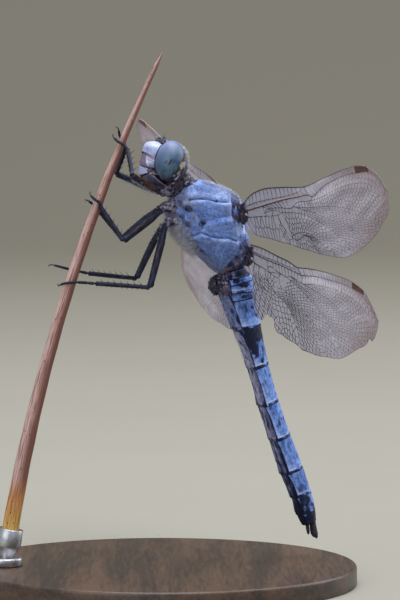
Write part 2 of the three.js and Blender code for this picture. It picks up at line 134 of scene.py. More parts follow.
def skin(points, **values):
    """A closed skin over rings: points[i, j] is point j round ring i, and a fan about the middle of the
    first and of the last ring closes the ends. values hold a number or a vector for each point."""
    rings, sides = points.shape[:2]
    here = np.arange(sides)
    after = (here + 1) % sides
    first = np.arange(rings - 1)[:, None] * sides
    second = first + sides
    quads = np.stack([first + here, first + after, second + after, second + here], -1).reshape(-1, 4)
    total, last = rings * sides, (rings - 1) * sides
    near = np.stack([np.full(sides, total), after, here], -1)
    far = np.stack([np.full(sides, total + 1), last + here, last + after], -1)

    def whole(grid):
        """A value for every point of the rings, then its mean on the first and on the last ring."""
        flat = grid.reshape(total, -1)
        return np.vstack([flat, flat[:sides].mean(0), flat[last:].mean(0)])

    part = {"verts": whole(points), "quads": quads, "tris": np.vstack([near, far]),
            "values": {name: whole(value) for name, value in values.items()}}
    corners = part["verts"][part["tris"]]
    square = part["verts"][quads]
    halves = np.concatenate([corners, square[:, [0, 1, 2]], square[:, [0, 2, 3]]]) - points.mean((0, 1))
    if np.einsum("ij,ij->i", halves[:, 0], np.cross(halves[:, 1], halves[:, 2])).sum() < 0:
        part["quads"] = quads[:, ::-1]
        part["tris"] = part["tris"][:, ::-1]
    return part


def three_sided(axis, away, width):
    """Three spokes of each width, square to each axis; away sets where they start."""
    aside = unit(np.cross(axis, away))
    across = np.cross(axis, aside)
    turns = np.arange(3) * TAU / 3
    ring = aside[:, None] * np.cos(turns)[:, None] + across[:, None] * np.sin(turns)[:, None]
    return ring * width[:, None, None]


def spikes(roots, tips, width, lean=None, bake=None):
    """Thin closed three-sided spikes: a ring of three at the root, a ring of two thirds that width half way,
    set off by lean, and a point at the tip. bake gives each spike's place on its skin's unwrap."""
    count = len(roots)
    width = np.broadcast_to(width, (count,))
    ring = three_sided(unit(tips - roots), [0.31, 0.77, 0.56], width)
    middle = roots + (tips - roots) / 2 + (0 if lean is None else lean)
    verts = np.concatenate([roots[:, None] + ring, middle[:, None] + ring * 0.66, tips[:, None]], 1)
    start = np.arange(count)[:, None] * 7
    quads = np.concatenate([start + [j, (j + 1) % 3, 3 + (j + 1) % 3, 3 + j] for j in range(3)])
    tris = np.concatenate([start + [3 + j, 3 + (j + 1) % 3, 6] for j in range(3)] + [start + [0, 2, 1]])
    part = {"verts": verts.reshape(-1, 3), "quads": quads, "tris": tris, "values": {}}
    if bake is not None:
        patch = (np.array([[0, 0], [1, 0], [0.5, 0.3], [0.1, 0.6], [0.9, 0.6], [0.5, 0.7], [0.5, 1]])
                 * BAKE_PATCH)
        part["values"]["OFBake"] = (bake[:, None] * (1 - BAKE_PATCH) + patch).reshape(-1, 2)
    return part


BAKE_PATCH = 0.003               # how wide one hair's patch is on its skin's unwrap


def joined(parts):
    """Several parts as one, with their numbering carried on. A value that a part lacks is 0 there."""
    names = {name: value.shape[1] for part in parts for name, value in part["values"].items()}
    starts = np.cumsum([0] + [len(part["verts"]) for part in parts])
    lacking = {(name, i): np.zeros((len(part["verts"]), width)) for name, width in names.items()
               for i, part in enumerate(parts) if name not in part["values"]}
    return {
        "verts": np.vstack([part["verts"] for part in parts]),
        "quads": np.vstack([part["quads"].reshape(-1, 4) + start for part, start in zip(parts, starts)]),
        "tris": np.vstack([part["tris"].reshape(-1, 3) + start for part, start in zip(parts, starts)]),
        "values": {name: np.vstack([lacking.get((name, i), part["values"].get(name))
                                    for i, part in enumerate(parts)]) for name in names},
    }


def placed(part, change):
    """The part with its points carried by a function from one frame to another."""
    return {**part, "verts": change(part["verts"])}


def piece(name, parts, material, nodes=()):
    """Makes one piece of the model from closed parts in millimetres of the model's own frame."""
    whole = joined(parts)
    quads, tris = whole["quads"], whole["tris"]
    corners = np.concatenate([quads.ravel(), tris.ravel()]).astype(np.int32)
    starts = np.concatenate([np.arange(len(quads)) * 4, len(quads) * 4 + np.arange(len(tris)) * 3])
    mesh = bpy.data.meshes.new(name)
    mesh.vertices.add(len(whole["verts"]))
    mesh.loops.add(len(corners))
    mesh.polygons.add(len(starts))
    mesh.vertices.foreach_set("co", (whole["verts"] * MM).ravel().astype(np.float32))
    mesh.loops.foreach_set("vertex_index", corners)
    mesh.polygons.foreach_set("loop_start", starts.astype(np.int32))
    mesh.polygons.foreach_set("use_smooth", np.ones(len(starts), bool))
    for key, value in whole["values"].items():
        if key == "OFBake":
            layer = mesh.uv_layers.new(name=key)
            layer.data.foreach_set("uv", value[corners].ravel())
        elif value.shape[1] == 3:
            mesh.attributes.new(key, "FLOAT_VECTOR", "POINT").data.foreach_set("vector", value.ravel())
        else:
            mesh.attributes.new(key, "FLOAT", "POINT").data.foreach_set("value", value.ravel())
    mesh.update(calc_edges=True)
    mesh.validate()
    made = bpy.data.objects.new(name, mesh)
    bpy.context.scene.collection.objects.link(made)
    mesh.materials.append(material)
    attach(made, "root")
    if nodes:
        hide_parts(*nodes)
    return made


def outward(points):
    """The outward direction at each point of a ringed skin: across both ways along the surface."""
    along = np.gradient(points, axis=0)
    about = np.roll(points, -1, 1) - np.roll(points, 1, 1)
    normal = unit(np.cross(about, along))
    spoke = points - points.mean(1, keepdims=True)
    return normal * np.sign((normal * spoke).sum())


def roughened(points, rough):
    """A ringed skin's points moved outwards by rough at each of them."""
    return points + outward(points) * rough[..., None]


def bent_power(value, power):
    """The value's size raised to a power, with its sign kept."""
    return np.sign(value) * np.abs(value) ** power


def superellipse(turns, half_width, top, side, low, boxiness):
    """Across and up round a section: the cosine and sine to the power 2 / boxiness, times the half width and
    the height above or below the widest line."""
    across = bent_power(np.cos(turns), 2 / boxiness) * half_width
    rise = bent_power(np.sin(turns), 2 / boxiness)
    return across, side + rise * np.where(rise > 0, top - side, side - low)


def ball(centre, size, lean=0, rings=24, sides=32):
    """An ellipsoid from pole to pole along Z, leaning about X."""
    fall = np.linspace(0.02, np.pi - 0.02, rings)[:, None]
    about = np.arange(sides) * TAU / sides
    round_ = np.stack([np.sin(fall) * np.cos(about), np.sin(fall) * np.sin(about),
                       np.cos(fall) * np.ones(sides)], -1)
    return round_, (round_ * size) @ turn(0, lean).T + centre


def tube(path, radii, sides, across, flat=1.0, keel=0.0):
    """A round section carried along a path. across sets where its turn starts, flat squeezes it the other way
    and keel raises four lengthwise ridges. Each point keeps its lay: round the path, and along it."""
    path = np.asarray(path, float)
    radii = np.broadcast_to(radii, (len(path),))
    ahead = unit(np.gradient(path, axis=0))
    side = unit(np.cross(ahead, across))
    rise = np.cross(side, ahead)
    turns = np.arange(sides) * TAU / sides
    swell = radii[:, None] * (1 + keel * np.cos(4 * turns))
    offset = (side[:, None] * (np.cos(turns) * swell)[..., None]
              + rise[:, None] * (np.sin(turns) * swell * flat)[..., None])
    along = np.concatenate([[0], np.cumsum(np.linalg.norm(np.diff(path, axis=0), axis=1))])
    lay = np.stack([np.cos(turns) * swell, np.sin(turns) * swell, along[:, None] + 0 * swell], -1)
    return skin(path[:, None] + offset, lay=lay)


def limb(start, end, profile, sides, across, rings=40, bow=0.0, **shape):
    """A tube along a straight or slightly bowed line, its radius read from rows of share and radius."""
    start, end = np.array(start, float), np.array(end, float)
    share = np.linspace(0, 1, rings)
    sag = unit(np.cross(np.cross(end - start, across), end - start)) * bow
    path = start + share[:, None] * (end - start) + np.sin(np.pi * share)[:, None] * sag
    places, radii = np.array(profile).T
    return tube(path, np.interp(share, places, radii), sides, across, **shape)


# ---- Shader maths --------------------------------------------------------------------------------

class Wire:
    """One output of a material's nodes. Arithmetic on it, with numbers or other wires, adds Math nodes."""

    def __init__(self, tree, socket=None):
        self.tree = tree
        self.socket = socket

    def node(self, kind, settings=None, sockets=None, out=0):
        """Adds a node: its settings first, then the numbers or wires of its sockets. Returns one output."""
        made = self.tree.nodes.new("ShaderNode" + kind)
        for name, value in (settings or {}).items():
            if name == "stops":
                stops = made.color_ramp.elements
                for index, (place, colour) in enumerate(value):
                    stop = stops[index] if index < 2 else stops.new(place)
                    stop.position = place
                    stop.color = colour
            else:
                setattr(made, name, value)
        for name, value in (sockets or {}).items():
            if isinstance(value, Wire):
                self.tree.links.new(value.socket, made.inputs[name])
            else:
                made.inputs[name].default_value = value
        return Wire(self.tree, made.outputs[out])

    def maths(self, operation, first, second=0.0):
        """A Math node for one operation on two numbers or wires."""
        return self.node("Math", {"operation": operation}, {0: first, 1: second})

    def __add__(self, other):
        return self.maths("ADD", self, other)

    def __radd__(self, other):
        return self.maths("ADD", other, self)

    def __sub__(self, other):
        return self.maths("SUBTRACT", self, other)

    def __rsub__(self, other):
        return self.maths("SUBTRACT", other, self)

    def __mul__(self, other):
        return self.maths("MULTIPLY", self, other)

    def __rmul__(self, other):
        return self.maths("MULTIPLY", other, self)

    def attribute(self, name, out=2):
        """A value kept at the mesh's points: out is 2 for a number and 1 for a vector."""
        return self.node("Attribute", {"attribute_name": name}, out=out)

    def lay(self):
        """The value kept by a tube or the stem, round it and along it, in metres."""
        lay = self.attribute("lay", 1)
        return lay.node("VectorMath", {"operation": "SCALE"}, {0: lay, "Scale": MM})

    def drawn_out(self, share):
        """This place with its way along shrunk to a share, which draws a pattern out lengthwise."""
        return self.node("Mapping", None, {"Vector": self, "Scale": (1, 1, share)})

    def place(self, stretch=(1, 1, 1), turned=(0, 0, 0)):
        """The point's own place in metres, turned and then stretched."""
        here = self.node("TexCoord", out=3)
        return here.node("Mapping", None, {"Vector": here, "Rotation": turned, "Scale": stretch})

    def noise(self, size, detail=3.0, roughness=0.55, warp=0.0):
        """Cloudy noise of that size in millimetres at this place in metres."""
        return self.node("TexNoise", None, {"Vector": self, "Scale": 1 / (size * MM), "Detail": detail,
                                            "Roughness": roughness, "Distortion": warp})

    def grains(self, size):
        """The distance from the nearest of scattered points, that size in millimetres apart."""
        return self.node("TexVoronoi", None, {"Vector": self, "Scale": 1 / (size * MM)})

    def step(self, low, high):
        """A smooth step from 0 at low to 1 at high."""
        return self.node("MapRange", {"interpolation_type": "SMOOTHSTEP"},
                         {"Value": self, "From Min": low, "From Max": high})

    def between(self, first, second):
        """A colour from the first, where this is 0, to the second, where it is 1."""
        return self.node("Mix", {"data_type": "RGBA"}, {0: self, 6: first, 7: second}, 2)

    def bump(self, depth):
        """A Bump node for this height, whose full range is that deep in millimetres."""
        return self.node("Bump", None, {"Height": self, "Distance": depth * MM})


def srgb(red, green, blue):
    """A colour's linear values from its 0-255 ones."""
    c = np.array([red, green, blue]) / 255
    return (*np.where(c <= 0.04045, c / 12.92, ((c + 0.055) / 1.055) ** 2.4).tolist(), 1.0)


def new_finish(name, constants):
    """A material with one Principled shader, its plain numbers set on its own sockets."""
    material = bpy.data.materials.new(name)
    material.use_nodes = True
    shader = material.node_tree.nodes["Principled BSDF"]
    for socket, value in constants.items():
        shader.inputs[socket].default_value = value
    return material, Wire(material.node_tree), shader


def feed(shader, sockets):
    """Links wires into the shader's sockets by name."""
    for name, wire in sockets.items():
        wire.tree.links.new(wire.socket, shader.inputs[name])


# ---- Finishes ------------------------------------------------------------------------------------

BLACK_BLUE = srgb(19, 25, 50)


def bloom_finish():
    """Dark shell under a powdery pale blue bloom. The bloom turns white where its pale value is high, partly
    as thicker bloom and partly as painted highlight. It darkens to deep blue and then to the blue-black shell
    where its dark value is high, partly as dark markings and partly as painted shade in folds and under
    keels. It turns to lilac grey where warm is and to purple brown where rust is."""
    material, wire, shader = new_finish("powder_blue_bloom", {"Sheen Weight": 0.05, "Sheen Roughness": 0.5,
                                                              "Specular IOR Level": 0.14})
    here = wire.place()
    clouds = here.noise(1.0, 4, 0.65)
    powder = here.noise(0.2, 5, 0.7)
    pores = here.noise(0.06, 2)
    blue = (clouds * 0.55 + powder * 0.45).step(0.38, 0.62).between(srgb(62, 94, 164), srgb(132, 166, 236))
    # The pale value brings painted highlights as well as thicker bloom, whitening the bloom here.
    bright = (powder * 0.6 + clouds * 0.05 + wire.attribute("snow") * 0.8).step(0.36, 1.05)
    pale = bright.between(blue, srgb(186, 206, 252))
    warm = (wire.attribute("warm") + (clouds - 0.5) * 0.7).step(0.25, 0.8)
    dust_and_highlight = (powder + wire.attribute("snow") * 0.4).step(0.35, 0.85)
    dusty = dust_and_highlight.between(srgb(78, 76, 104), srgb(178, 176, 206))
    earthy = warm.between(pale, dusty)
    rusty = (wire.attribute("rust") + (clouds - 0.5) * 0.5 + (powder - 0.5) * 0.3).step(0.3, 0.75)
    earthy = rusty.between(earthy, powder.step(0.35, 0.65).between(srgb(50, 38, 46), srgb(144, 128, 140)))
    ragged = wire.attribute("worn") + (powder - 0.5) * 0.8 + (clouds - 0.5) * 0.4 + (pores - 0.5) * 0.2
    # Painted shade: the deep blue and the blue-black below it darken folds and keels as well as the real dark
    # markings.
    deep = ragged.step(0.0, 0.55).between(earthy, srgb(42, 56, 98))
    bare_and_shade = ragged.step(0.45, 0.8)
    colour = bare_and_shade.between(deep, BLACK_BLUE)
    feed(shader, {"Base Color": colour, "Roughness": 0.8 - bare_and_shade * 0.34,
                  "Normal": (powder * 0.7 + pores * 0.3).bump(0.05)})
    return material


def face_finish():
    """Smooth bluish white shell with fine dark pores. It turns lilac, as a pink tint and as painted shade,
    and dark in painted shade.
    """
    material, wire, shader = new_finish("pale_face_shell", {"Specular IOR Level": 0.4})
    here = wire.place()
    clouds = here.noise(0.5, 4)
    fine = here.noise(0.12, 4, 0.65)
    pores = here.grains(0.2).step(0.0, 0.04)
    tone = (clouds * 0.4 + fine * 0.25 + wire.attribute("snow") * 0.5).step(0.2, 0.75)
    white = tone.between(srgb(150, 160, 204), srgb(206, 212, 242))
    lilac = (wire.attribute("warm") + (fine - 0.5) * 0.4).step(0.1, 0.9).between(white, srgb(150, 130, 158))
    marked = (wire.attribute("worn") + (fine - 0.5) * 0.35).step(0.25, 0.8).between(lilac, srgb(44, 30, 40))
    colour = pores.between(srgb(112, 112, 146), marked)
    feed(shader, {"Base Color": colour, "Roughness": 0.42 + clouds * 0.2,
                  "Normal": (clouds * 0.5 + fine * 0.3 + pores * 0.2).bump(0.03)})
    return material


def eye_finish():
    """Satin facets: lilac grey on the crown, slate blue at the side and deep blue below, partly their own
    colour and partly painted light from above, clouded with teal; painted dark pseudopupils and, behind, a
    black band with cream patches."""
    material, wire, shader = new_finish("compound_eye", {"Coat Roughness": 0.35, "Coat Weight": 0.25,
                                                         "Specular IOR Level": 0.4, "Roughness": 0.42})
    here = wire.place()
    facets = here.grains(0.045)
    mottle = here.noise(0.45, 5, 0.65)
    broad = here.noise(1.7, 3)
    grain = here.noise(0.09, 3)
    up = wire.attribute("crown") + (mottle - 0.5) * 0.6 + (broad - 0.5) * 0.35 + (grain - 0.5) * 0.35
    colour = up.node("ValToRGB", {"stops": [(0.0, srgb(28, 40, 72)), (1.0, srgb(142, 152, 196)),
                                            (0.25, srgb(48, 74, 104)), (0.5, srgb(70, 92, 122)),
                                            (0.75, srgb(98, 114, 154))]}, {"Fac": up})
    teal = ((mottle + broad) * 0.5).step(0.47, 0.58).between(colour, srgb(76, 106, 122))
    tinted = (wire.attribute("crown").step(0.75, 0.95) * 0.6 + 0.4).between(teal, colour)
    behind = wire.attribute("warm") + (mottle - 0.5) * 0.3
    cream = (grain * 0.6 + mottle * 0.4).step(0.35, 0.6).between(srgb(126, 104, 70), srgb(196, 182, 152))
    ragged = wire.attribute("snow") + (mottle - 0.5) * 0.7 + (grain - 0.5) * 0.4
    band = ragged.step(0.35, 0.65).between(srgb(22, 18, 24), cream)
    banded = behind.step(0.4, 0.62).between(tinted, band)
    spotted = wire.attribute("worn").step(0.15, 0.8).between(banded, srgb(18, 20, 40))
    feed(shader, {"Base Color": spotted, "Normal": (1 - facets).bump(0.004)})
    return material


def shell_finish():
    """Blue-black shell with a dull gloss, brown where warm is high and pale lilac where snow is."""
    material, wire, shader = new_finish("blue_black_shell", {"Specular IOR Level": 0.5, "Coat Roughness": 0.3,
                                                             "Coat Weight": 0.1})
    here = wire.place()
    clouds = here.noise(0.35, 4, 0.65)
    grit = here.noise(0.08, 3)
    dark = (clouds * 0.7 + grit * 0.3).step(0.42, 0.7).between(srgb(15, 14, 27), srgb(66, 61, 94))
    brown = (wire.attribute("warm") + (clouds - 0.5) * 0.6).step(0.3, 0.8).between(dark, srgb(92, 60, 46))
    pale = (wire.attribute("snow") + (clouds - 0.5) * 0.8).step(0.3, 0.95).between(brown, srgb(186, 182, 208))
    feed(shader, {"Base Color": pale, "Roughness": 0.36 + grit * 0.28,
                  "Normal": (clouds * 0.7 + grit * 0.3).bump(0.06)})
    return material


def labium_finish():
    """Dark slate lobes with a satin gloss, pale at the rim where warm is high."""
    material, wire, shader = new_finish("slate_lip", {"Specular IOR Level": 0.5})
    clouds = wire.place().noise(0.6, 4)
    slate = clouds.step(0.3, 0.7).between(srgb(38, 38, 58), srgb(70, 70, 98))
    rimmed = wire.attribute("warm").step(0.3, 0.9).between(slate, srgb(138, 132, 152))
    edged = wire.attribute("worn").step(0.3, 0.8).between(rimmed, srgb(26, 18, 24))
    feed(shader, {"Base Color": edged, "Roughness": 0.34 + clouds * 0.25, "Normal": clouds.bump(0.02)})
    return material


def leg_finish():
    """Blue-black shell with a grey-blue bloom along the ridges, dark brown streaks where warm is high and
    mottled pinkish grey where snow is."""
    material, wire, shader = new_finish("leg_shell", {"Specular IOR Level": 0.3})
    metres = wire.lay()
    streaks = metres.drawn_out(0.18).noise(0.16, 3)
    grit = metres.noise(0.07, 3)
    patches = metres.noise(0.3, 4, 0.65)
    dark = streaks.step(0.45, 0.72).between(srgb(10, 11, 26), srgb(42, 48, 90))
    rust = streaks.step(0.35, 0.65).between(srgb(38, 22, 16), srgb(92, 54, 36))
    brown = (wire.attribute("warm") + (streaks - 0.5) * 0.5).step(0.35, 0.8).between(dark, rust)
    pink = (wire.attribute("snow") * 0.75 + (patches - 0.5) * 1.4).step(0.2, 0.7)
    colour = pink.between(brown, grit.step(0.35, 0.65).between(srgb(104, 92, 116), srgb(168, 156, 176)))
    feed(shader, {"Base Color": colour, "Roughness": 0.34 + grit * 0.3,
                  "Normal": (streaks * 0.6 + grit * 0.4).bump(0.04)})
    return material


def membrane_finish():
    """Dusty lilac grey film, thick in its milky patches, which are partly painted sheen, amber at its root,
    with fine crinkles.
    """
    material, wire, shader = new_finish("wing_film", {"Specular IOR Level": 0.5, "Coat Weight": 0.1,
                                                      "Coat Roughness": 0.25})
    here = wire.place()
    clouds = here.noise(3.5, 2)
    crinkle = here.noise(0.3, 4, 0.65)
    milk = (clouds * 0.2 + crinkle * 0.3 + wire.attribute("milk") * 0.7).step(0.2, 1.2)
    film = milk.between(srgb(184, 182, 202), srgb(238, 234, 248))
    dusky = (wire.attribute("worn") * 0.55).step(0.0, 1.0).between(film, srgb(158, 130, 134))
    colour = wire.attribute("warm").step(0.1, 0.9).between(dusky, srgb(120, 84, 58))
    feed(shader, {"Base Color": colour, "Alpha": 0.42 + milk * 0.48, "Roughness": 0.35 + crinkle * 0.25,
                  "Normal": crinkle.bump(0.04)})
    return material


def vein_finish():
    """Dark brown to black veins, paler where the pale value is high, partly as painted light, and brown where
    warm is.
    """
    material, wire, shader = new_finish("wing_vein", {"Specular IOR Level": 0.5})
    clouds = wire.place().noise(0.5, 3)
    dark = clouds.step(0.3, 0.7).between(srgb(24, 24, 38), srgb(54, 50, 68))
    pale = wire.attribute("snow").step(0.0, 1.0).between(dark, srgb(196, 176, 178))
    brown = (wire.attribute("warm") + (clouds - 0.5) * 0.3).step(0.1, 0.9).between(pale, srgb(92, 56, 44))
    feed(shader, {"Base Color": brown, "Roughness": 0.35 + clouds * 0.3, "Normal": clouds.bump(0.01)})
    return material


def stigma_finish():
    """Thick dark reddish brown cell, darker to its rim."""
    material, wire, shader = new_finish("stigma_brown", {"Specular IOR Level": 0.5})
    clouds = wire.place().noise(0.5, 4)
    brown = clouds.step(0.3, 0.7).between(srgb(62, 24, 20), srgb(104, 46, 32))
    rimmed = wire.attribute("worn").step(0.3, 0.9).between(brown, srgb(34, 20, 24))
    feed(shader, {"Base Color": rimmed, "Roughness": 0.35 + clouds * 0.2, "Normal": clouds.bump(0.02)})
    return material


def rush_finish():
    """Dry reddish rush: fine lengthwise fibres, painted pale tan on one flank and darker red on the other as
    light falls from that side, small dark specks, and straw yellow towards the foot. The lay is round the
    stem and along it from the tip."""
    material, wire, shader = new_finish("dry_rush", {"Specular IOR Level": 0.35})
    metres = wire.lay()
    fibres = metres.drawn_out(0.04).noise(0.1, 4, 0.6)
    broad = metres.drawn_out(0.12).noise(0.8, 3)
    specks = metres.drawn_out(0.5).grains(0.4)
    flank = (wire.attribute("flank") + (broad - 0.5) * 0.6).step(0.2, 0.8)
    red = flank.between(srgb(136, 90, 78), srgb(214, 178, 170))
    streaked = fibres.step(0.3, 0.6).between(srgb(124, 80, 70), red)
    straw = fibres.step(0.35, 0.6).between(srgb(168, 118, 56), srgb(222, 180, 98))
    ripening = wire.attribute("foot") + (broad - 0.5) * 0.25
    tanned = fibres.step(0.3, 0.6).between(srgb(150, 92, 54), srgb(206, 146, 92))
    tan = ripening.step(0.15, 0.5).between(streaked, tanned)
    foot = ripening.step(0.5, 0.85).between(tan, straw)
    speckled = (specks + (broad - 0.5) * 0.25).step(0.06, 0.16).between(srgb(62, 34, 28), foot)
    feed(shader, {"Base Color": speckled, "Roughness": 0.5 + fibres * 0.25,
                  "Normal": (fibres * 0.8 + broad * 0.2).bump(0.06)})
    return material


def wood_finish():
    """Dark stained fine-grained wood, cut along the grain: long rings stretched across the disc."""
    material, wire, shader = new_finish("dark_wood", {"Specular IOR Level": 0.45, "Coat Weight": 0.25,
                                                      "Coat Roughness": 0.25})
    here = wire.place((1, 0.08, 1), (0, 0, np.radians(28)))
    fibre = here.noise(0.35, 5, 0.65)
    rings = here.noise(3.2, 3, 0.5, 0.6)
    pores = wire.place((1, 0.05, 1), (0, 0, np.radians(28))).grains(0.5).step(0.03, 0.1)
    grain = (fibre * 0.45 + rings * 0.55).step(0.36, 0.62).between(srgb(48, 36, 30), srgb(92, 68, 52))
    colour = pores.between(srgb(28, 21, 18), grain)
    feed(shader, {"Base Color": colour, "Roughness": 0.36 + fibre * 0.2,
                  "Normal": (fibre * 0.5 + pores * 0.5).bump(0.04)})
    return material


def steel_finish():
    """Plain metal turned on a lathe: fine rings along the rod, with a few dull patches."""
    material, wire, shader = new_finish("turned_steel", {"Metallic": 1.0})
    rings = wire.place((0.1, 0.1, 1)).noise(0.05, 2)
    dull = wire.place().noise(0.9, 3)
    colour = dull.step(0.3, 0.7).between(srgb(170, 170, 174), srgb(206, 206, 208))
    feed(shader, {"Base Color": colour, "Roughness": 0.24 + dull * 0.16, "Normal": rings.bump(0.012)})
    return material


def hair_finish(name, low, high, roughness):
    """Hair in two shades, cloudy along and between the hairs."""
    material, wire, shader = new_finish(name, {"Specular IOR Level": 0.4, "Sheen Weight": 0.2})
    shade = wire.place().noise(0.3, 2)
    feed(shader, {"Base Color": shade.step(0.35, 0.65).between(low, high),
                  "Roughness": roughness + shade * 0.1})
    return material


BLOOM, FACE, EYE, SHELL = bloom_finish(), face_finish(), eye_finish(), shell_finish()
LABIUM, LEG, FILM, VEIN = labium_finish(), leg_finish(), membrane_finish(), vein_finish()
STIGMA, RUSH, WOOD, STEEL = stigma_finish(), rush_finish(), wood_finish(), steel_finish()
WHITE_HAIR = hair_finish("white_hair", srgb(168, 170, 186), srgb(226, 226, 234), 0.55)
BLUE_HAIR = hair_finish("pale_blue_hair", srgb(104, 124, 172), srgb(164, 180, 220), 0.6)
DARK_HAIR = hair_finish("dark_bristle", srgb(16, 16, 24), srgb(48, 46, 60), 0.4)


# ---- Thorax --------------------------------------------------------------------------------------

# Place along the body, half width, then the heights of back, widest line and belly.
THORAX = [
    (-4.76, 1.35, 2.1, 0.6, -0.85), (-4.4, 2.0, 2.45, 0.65, -1.25), (-3.4, 2.45, 2.6, 0.6, -1.9),
    (-2.0, 2.8, 2.72, 0.4, -2.8), (-0.5, 2.9, 2.86, 0.1, -3.7), (1.0, 2.88, 2.99, -0.3, -4.3),
    (2.2, 2.72, 2.86, -0.7, -4.42), (3.2, 2.45, 1.95, -1.1, -4.0), (4.3, 1.95, 0.5, -1.5, -3.3),
    (5.0, 1.3, -0.55, -1.7, -2.75), (5.4, 0.5, -1.2, -1.65, -2.1),
]
THORAX_BOXINESS = 2.5
THORAX_RINGS, THORAX_SIDES = 210, 260

# Sutures and folds of the side plates, in the side view: along the body and up.
HUMERAL_SUTURE = [(3.6, -2.4), (3.4, -1.4), (3.0, -0.5), (2.6, 0.1), (2.2, 1.3)]
FRONT_CURVE = [(3.0, -3.5), (2.7, -2.6), (2.1, -2.1), (1.2, -2.0), (0.5, -2.05)]
MIDDLE_FOLD = [(1.3, -1.75), (1.05, -0.9), (1.05, 0.0), (0.95, 0.95)]
HIND_SUTURE = [(0.0, -3.1), (0.1, -2.3), (-0.6, -1.4), (-0.95, -0.7), (-1.2, 0.15), (-1.8, 0.95)]
LOWER_SUTURE = [(0.0, -3.3), (-1.2, -2.9), (-2.2, -2.35), (-3.0, -1.85), (-3.9, -1.3)]
COLLAR_RIDGE = [(4.8, -1.7), (3.8, -1.85)]
SPIRACLE = (0.95, -1.95)
# Dark patches of the side plates: along the body, up, size, strength.
DARK_DOTS = [(-0.61, -2.98, 0.2, 0.8), (2.7, -2.8, 0.3, 0.6), (-0.41, 0.66, 0.2, 0.4),
             (2.05, -0.3, 0.16, 0.3), (2.2, -3.5, 0.35, 0.5), (1.2, -3.4, 0.3, 0.4), (2.7, 0.2, 0.12, 0.6),
             (2.8, 0.85, 0.12, 0.5)]
# Where the side plates end and the wings' hinges begin: along the body and up.
HINGE_EDGE = [(-4.4, -1.2), (-3.82, -0.48), (-3.41, 0.33), (-2.77, 1.03), (-1.78, 1.06), (-0.97, 1.18),
              (0.77, 1.16), (1.73, 1.47), (2.57, 1.83), (3.0, 2.2)]
# Folds between the plates: line, how deep and how wide, and how dark and how wide the painted shade in it is.
FOLDS = [(HUMERAL_SUTURE, 0.17, 0.12, 0.5, 0.1), (HIND_SUTURE, 0.18, 0.12, 0.55, 0.1),
         (FRONT_CURVE, 0.17, 0.2, 0.36, 0.18), (MIDDLE_FOLD, 0.15, 0.34, 0.2, 0.2),
         (LOWER_SUTURE, 0.2, 0.13, 0.7, 0.14)]
# Plates that swell beside those folds: line, its shift, how high and how wide, each also painted as a
# highlight.
SWELLS = [(HUMERAL_SUTURE, (-0.34, 0.05), 0.17, 0.3), (HIND_SUTURE, (-0.34, 0.05), 0.2, 0.32),
          (HUMERAL_SUTURE, (0.4, 0.0), 0.1, 0.3), (MIDDLE_FOLD, (-0.6, 0.0), 0.13, 0.4),
          (COLLAR_RIDGE, (0.0, 0.0), 0.09, 0.12), (FRONT_CURVE, (0.5, -0.3), 0.12, 0.3)]


def trunk(table, x, turns, boxiness):
    """Superellipse sections at places along the body, whose sizes run smoothly through the table."""
    half_width, top, side, low = np.moveaxis(through(table, x), -1, 0)[..., None]
    across, up = superellipse(turns, half_width, top, side, low, boxiness)
    return np.stack([np.broadcast_to(x[:, None], up.shape), across, up], -1)


def thorax_surface():
    """The trunk through the thorax stations, moved outwards or inwards by its folds, plates and hinges."""
    share = np.linspace(0, 1, THORAX_RINGS)
    first, last = THORAX[0][0], THORAX[-1][0]
    x = first + (last - first) * (share + 0.5 - 0.5 * np.cos(np.pi * share)) / 2
    points = trunk(THORAX, x, np.arange(THORAX_SIDES) * TAU / THORAX_SIDES, THORAX_BOXINESS)
    normal = outward(points)
    side_view = points[..., [0, 2]]
    across = np.abs(points[..., 1])
    flank = ramp(across, 0.9, 1.8)
    height = 0.0
    for line, deep, wide, _, _ in FOLDS:
        height = height - deep * bell(line_distance(side_view, line), wide) * flank
    for line, shift, high, wide in SWELLS:
        height = height + high * bell(line_distance(side_view, np.add(line, shift)), wide) * flank
    places, edges = np.array(HINGE_EDGE).T
    over = points[..., 2] - np.interp(points[..., 0], places, edges)
    hinge = ramp(over, 0.0, 0.16) * ramp(across, 1.0, 1.4) * (1 - ramp(points[..., 0], 2.7, 3.1))
    height = height - 0.16 * bell(over - 0.15, 0.16) * hinge + 0.1 * hinge * ripple(points, 0.45, 9)
    height = height - 0.25 * hinge * bell(points[..., 0] + 0.9, 0.8) * ramp(points[..., 2], 1.3, 1.9)
    height = (height + 0.14 * bell(points[..., 1], 0.12) * ramp(points[..., 0], 0.6, 1.4)
              * ramp(points[..., 2], -0.6, 0.4))
    back = ramp(points[..., 2], 1.2, 2.0)
    for centre, rise in ((1.3, 0.22), (-0.4, 0.16), (-2.2, 0.2), (-3.6, 0.14)):
        dome = np.hypot(points[..., 0] - centre, (across - 0.55) * 0.9)
        height = height + back * (rise * bell(dome, 0.62) - 0.3 * rise * bell(dome - 0.85, 0.22))
    height = (height + 0.035 * ripple(points, 1.3, 5) + 0.022 * ripple(points, 0.45, 6)
              + 0.012 * ripple(points, 0.2, 7))
    pit = bell(np.hypot(*((side_view - SPIRACLE) * (1.0, 0.5)).T).T, 0.2) * ramp(across, 1.9, 2.1)
    height = height - 0.16 * pit
    return points + normal * height[..., None], normal, side_view, across, flank, hinge, pit


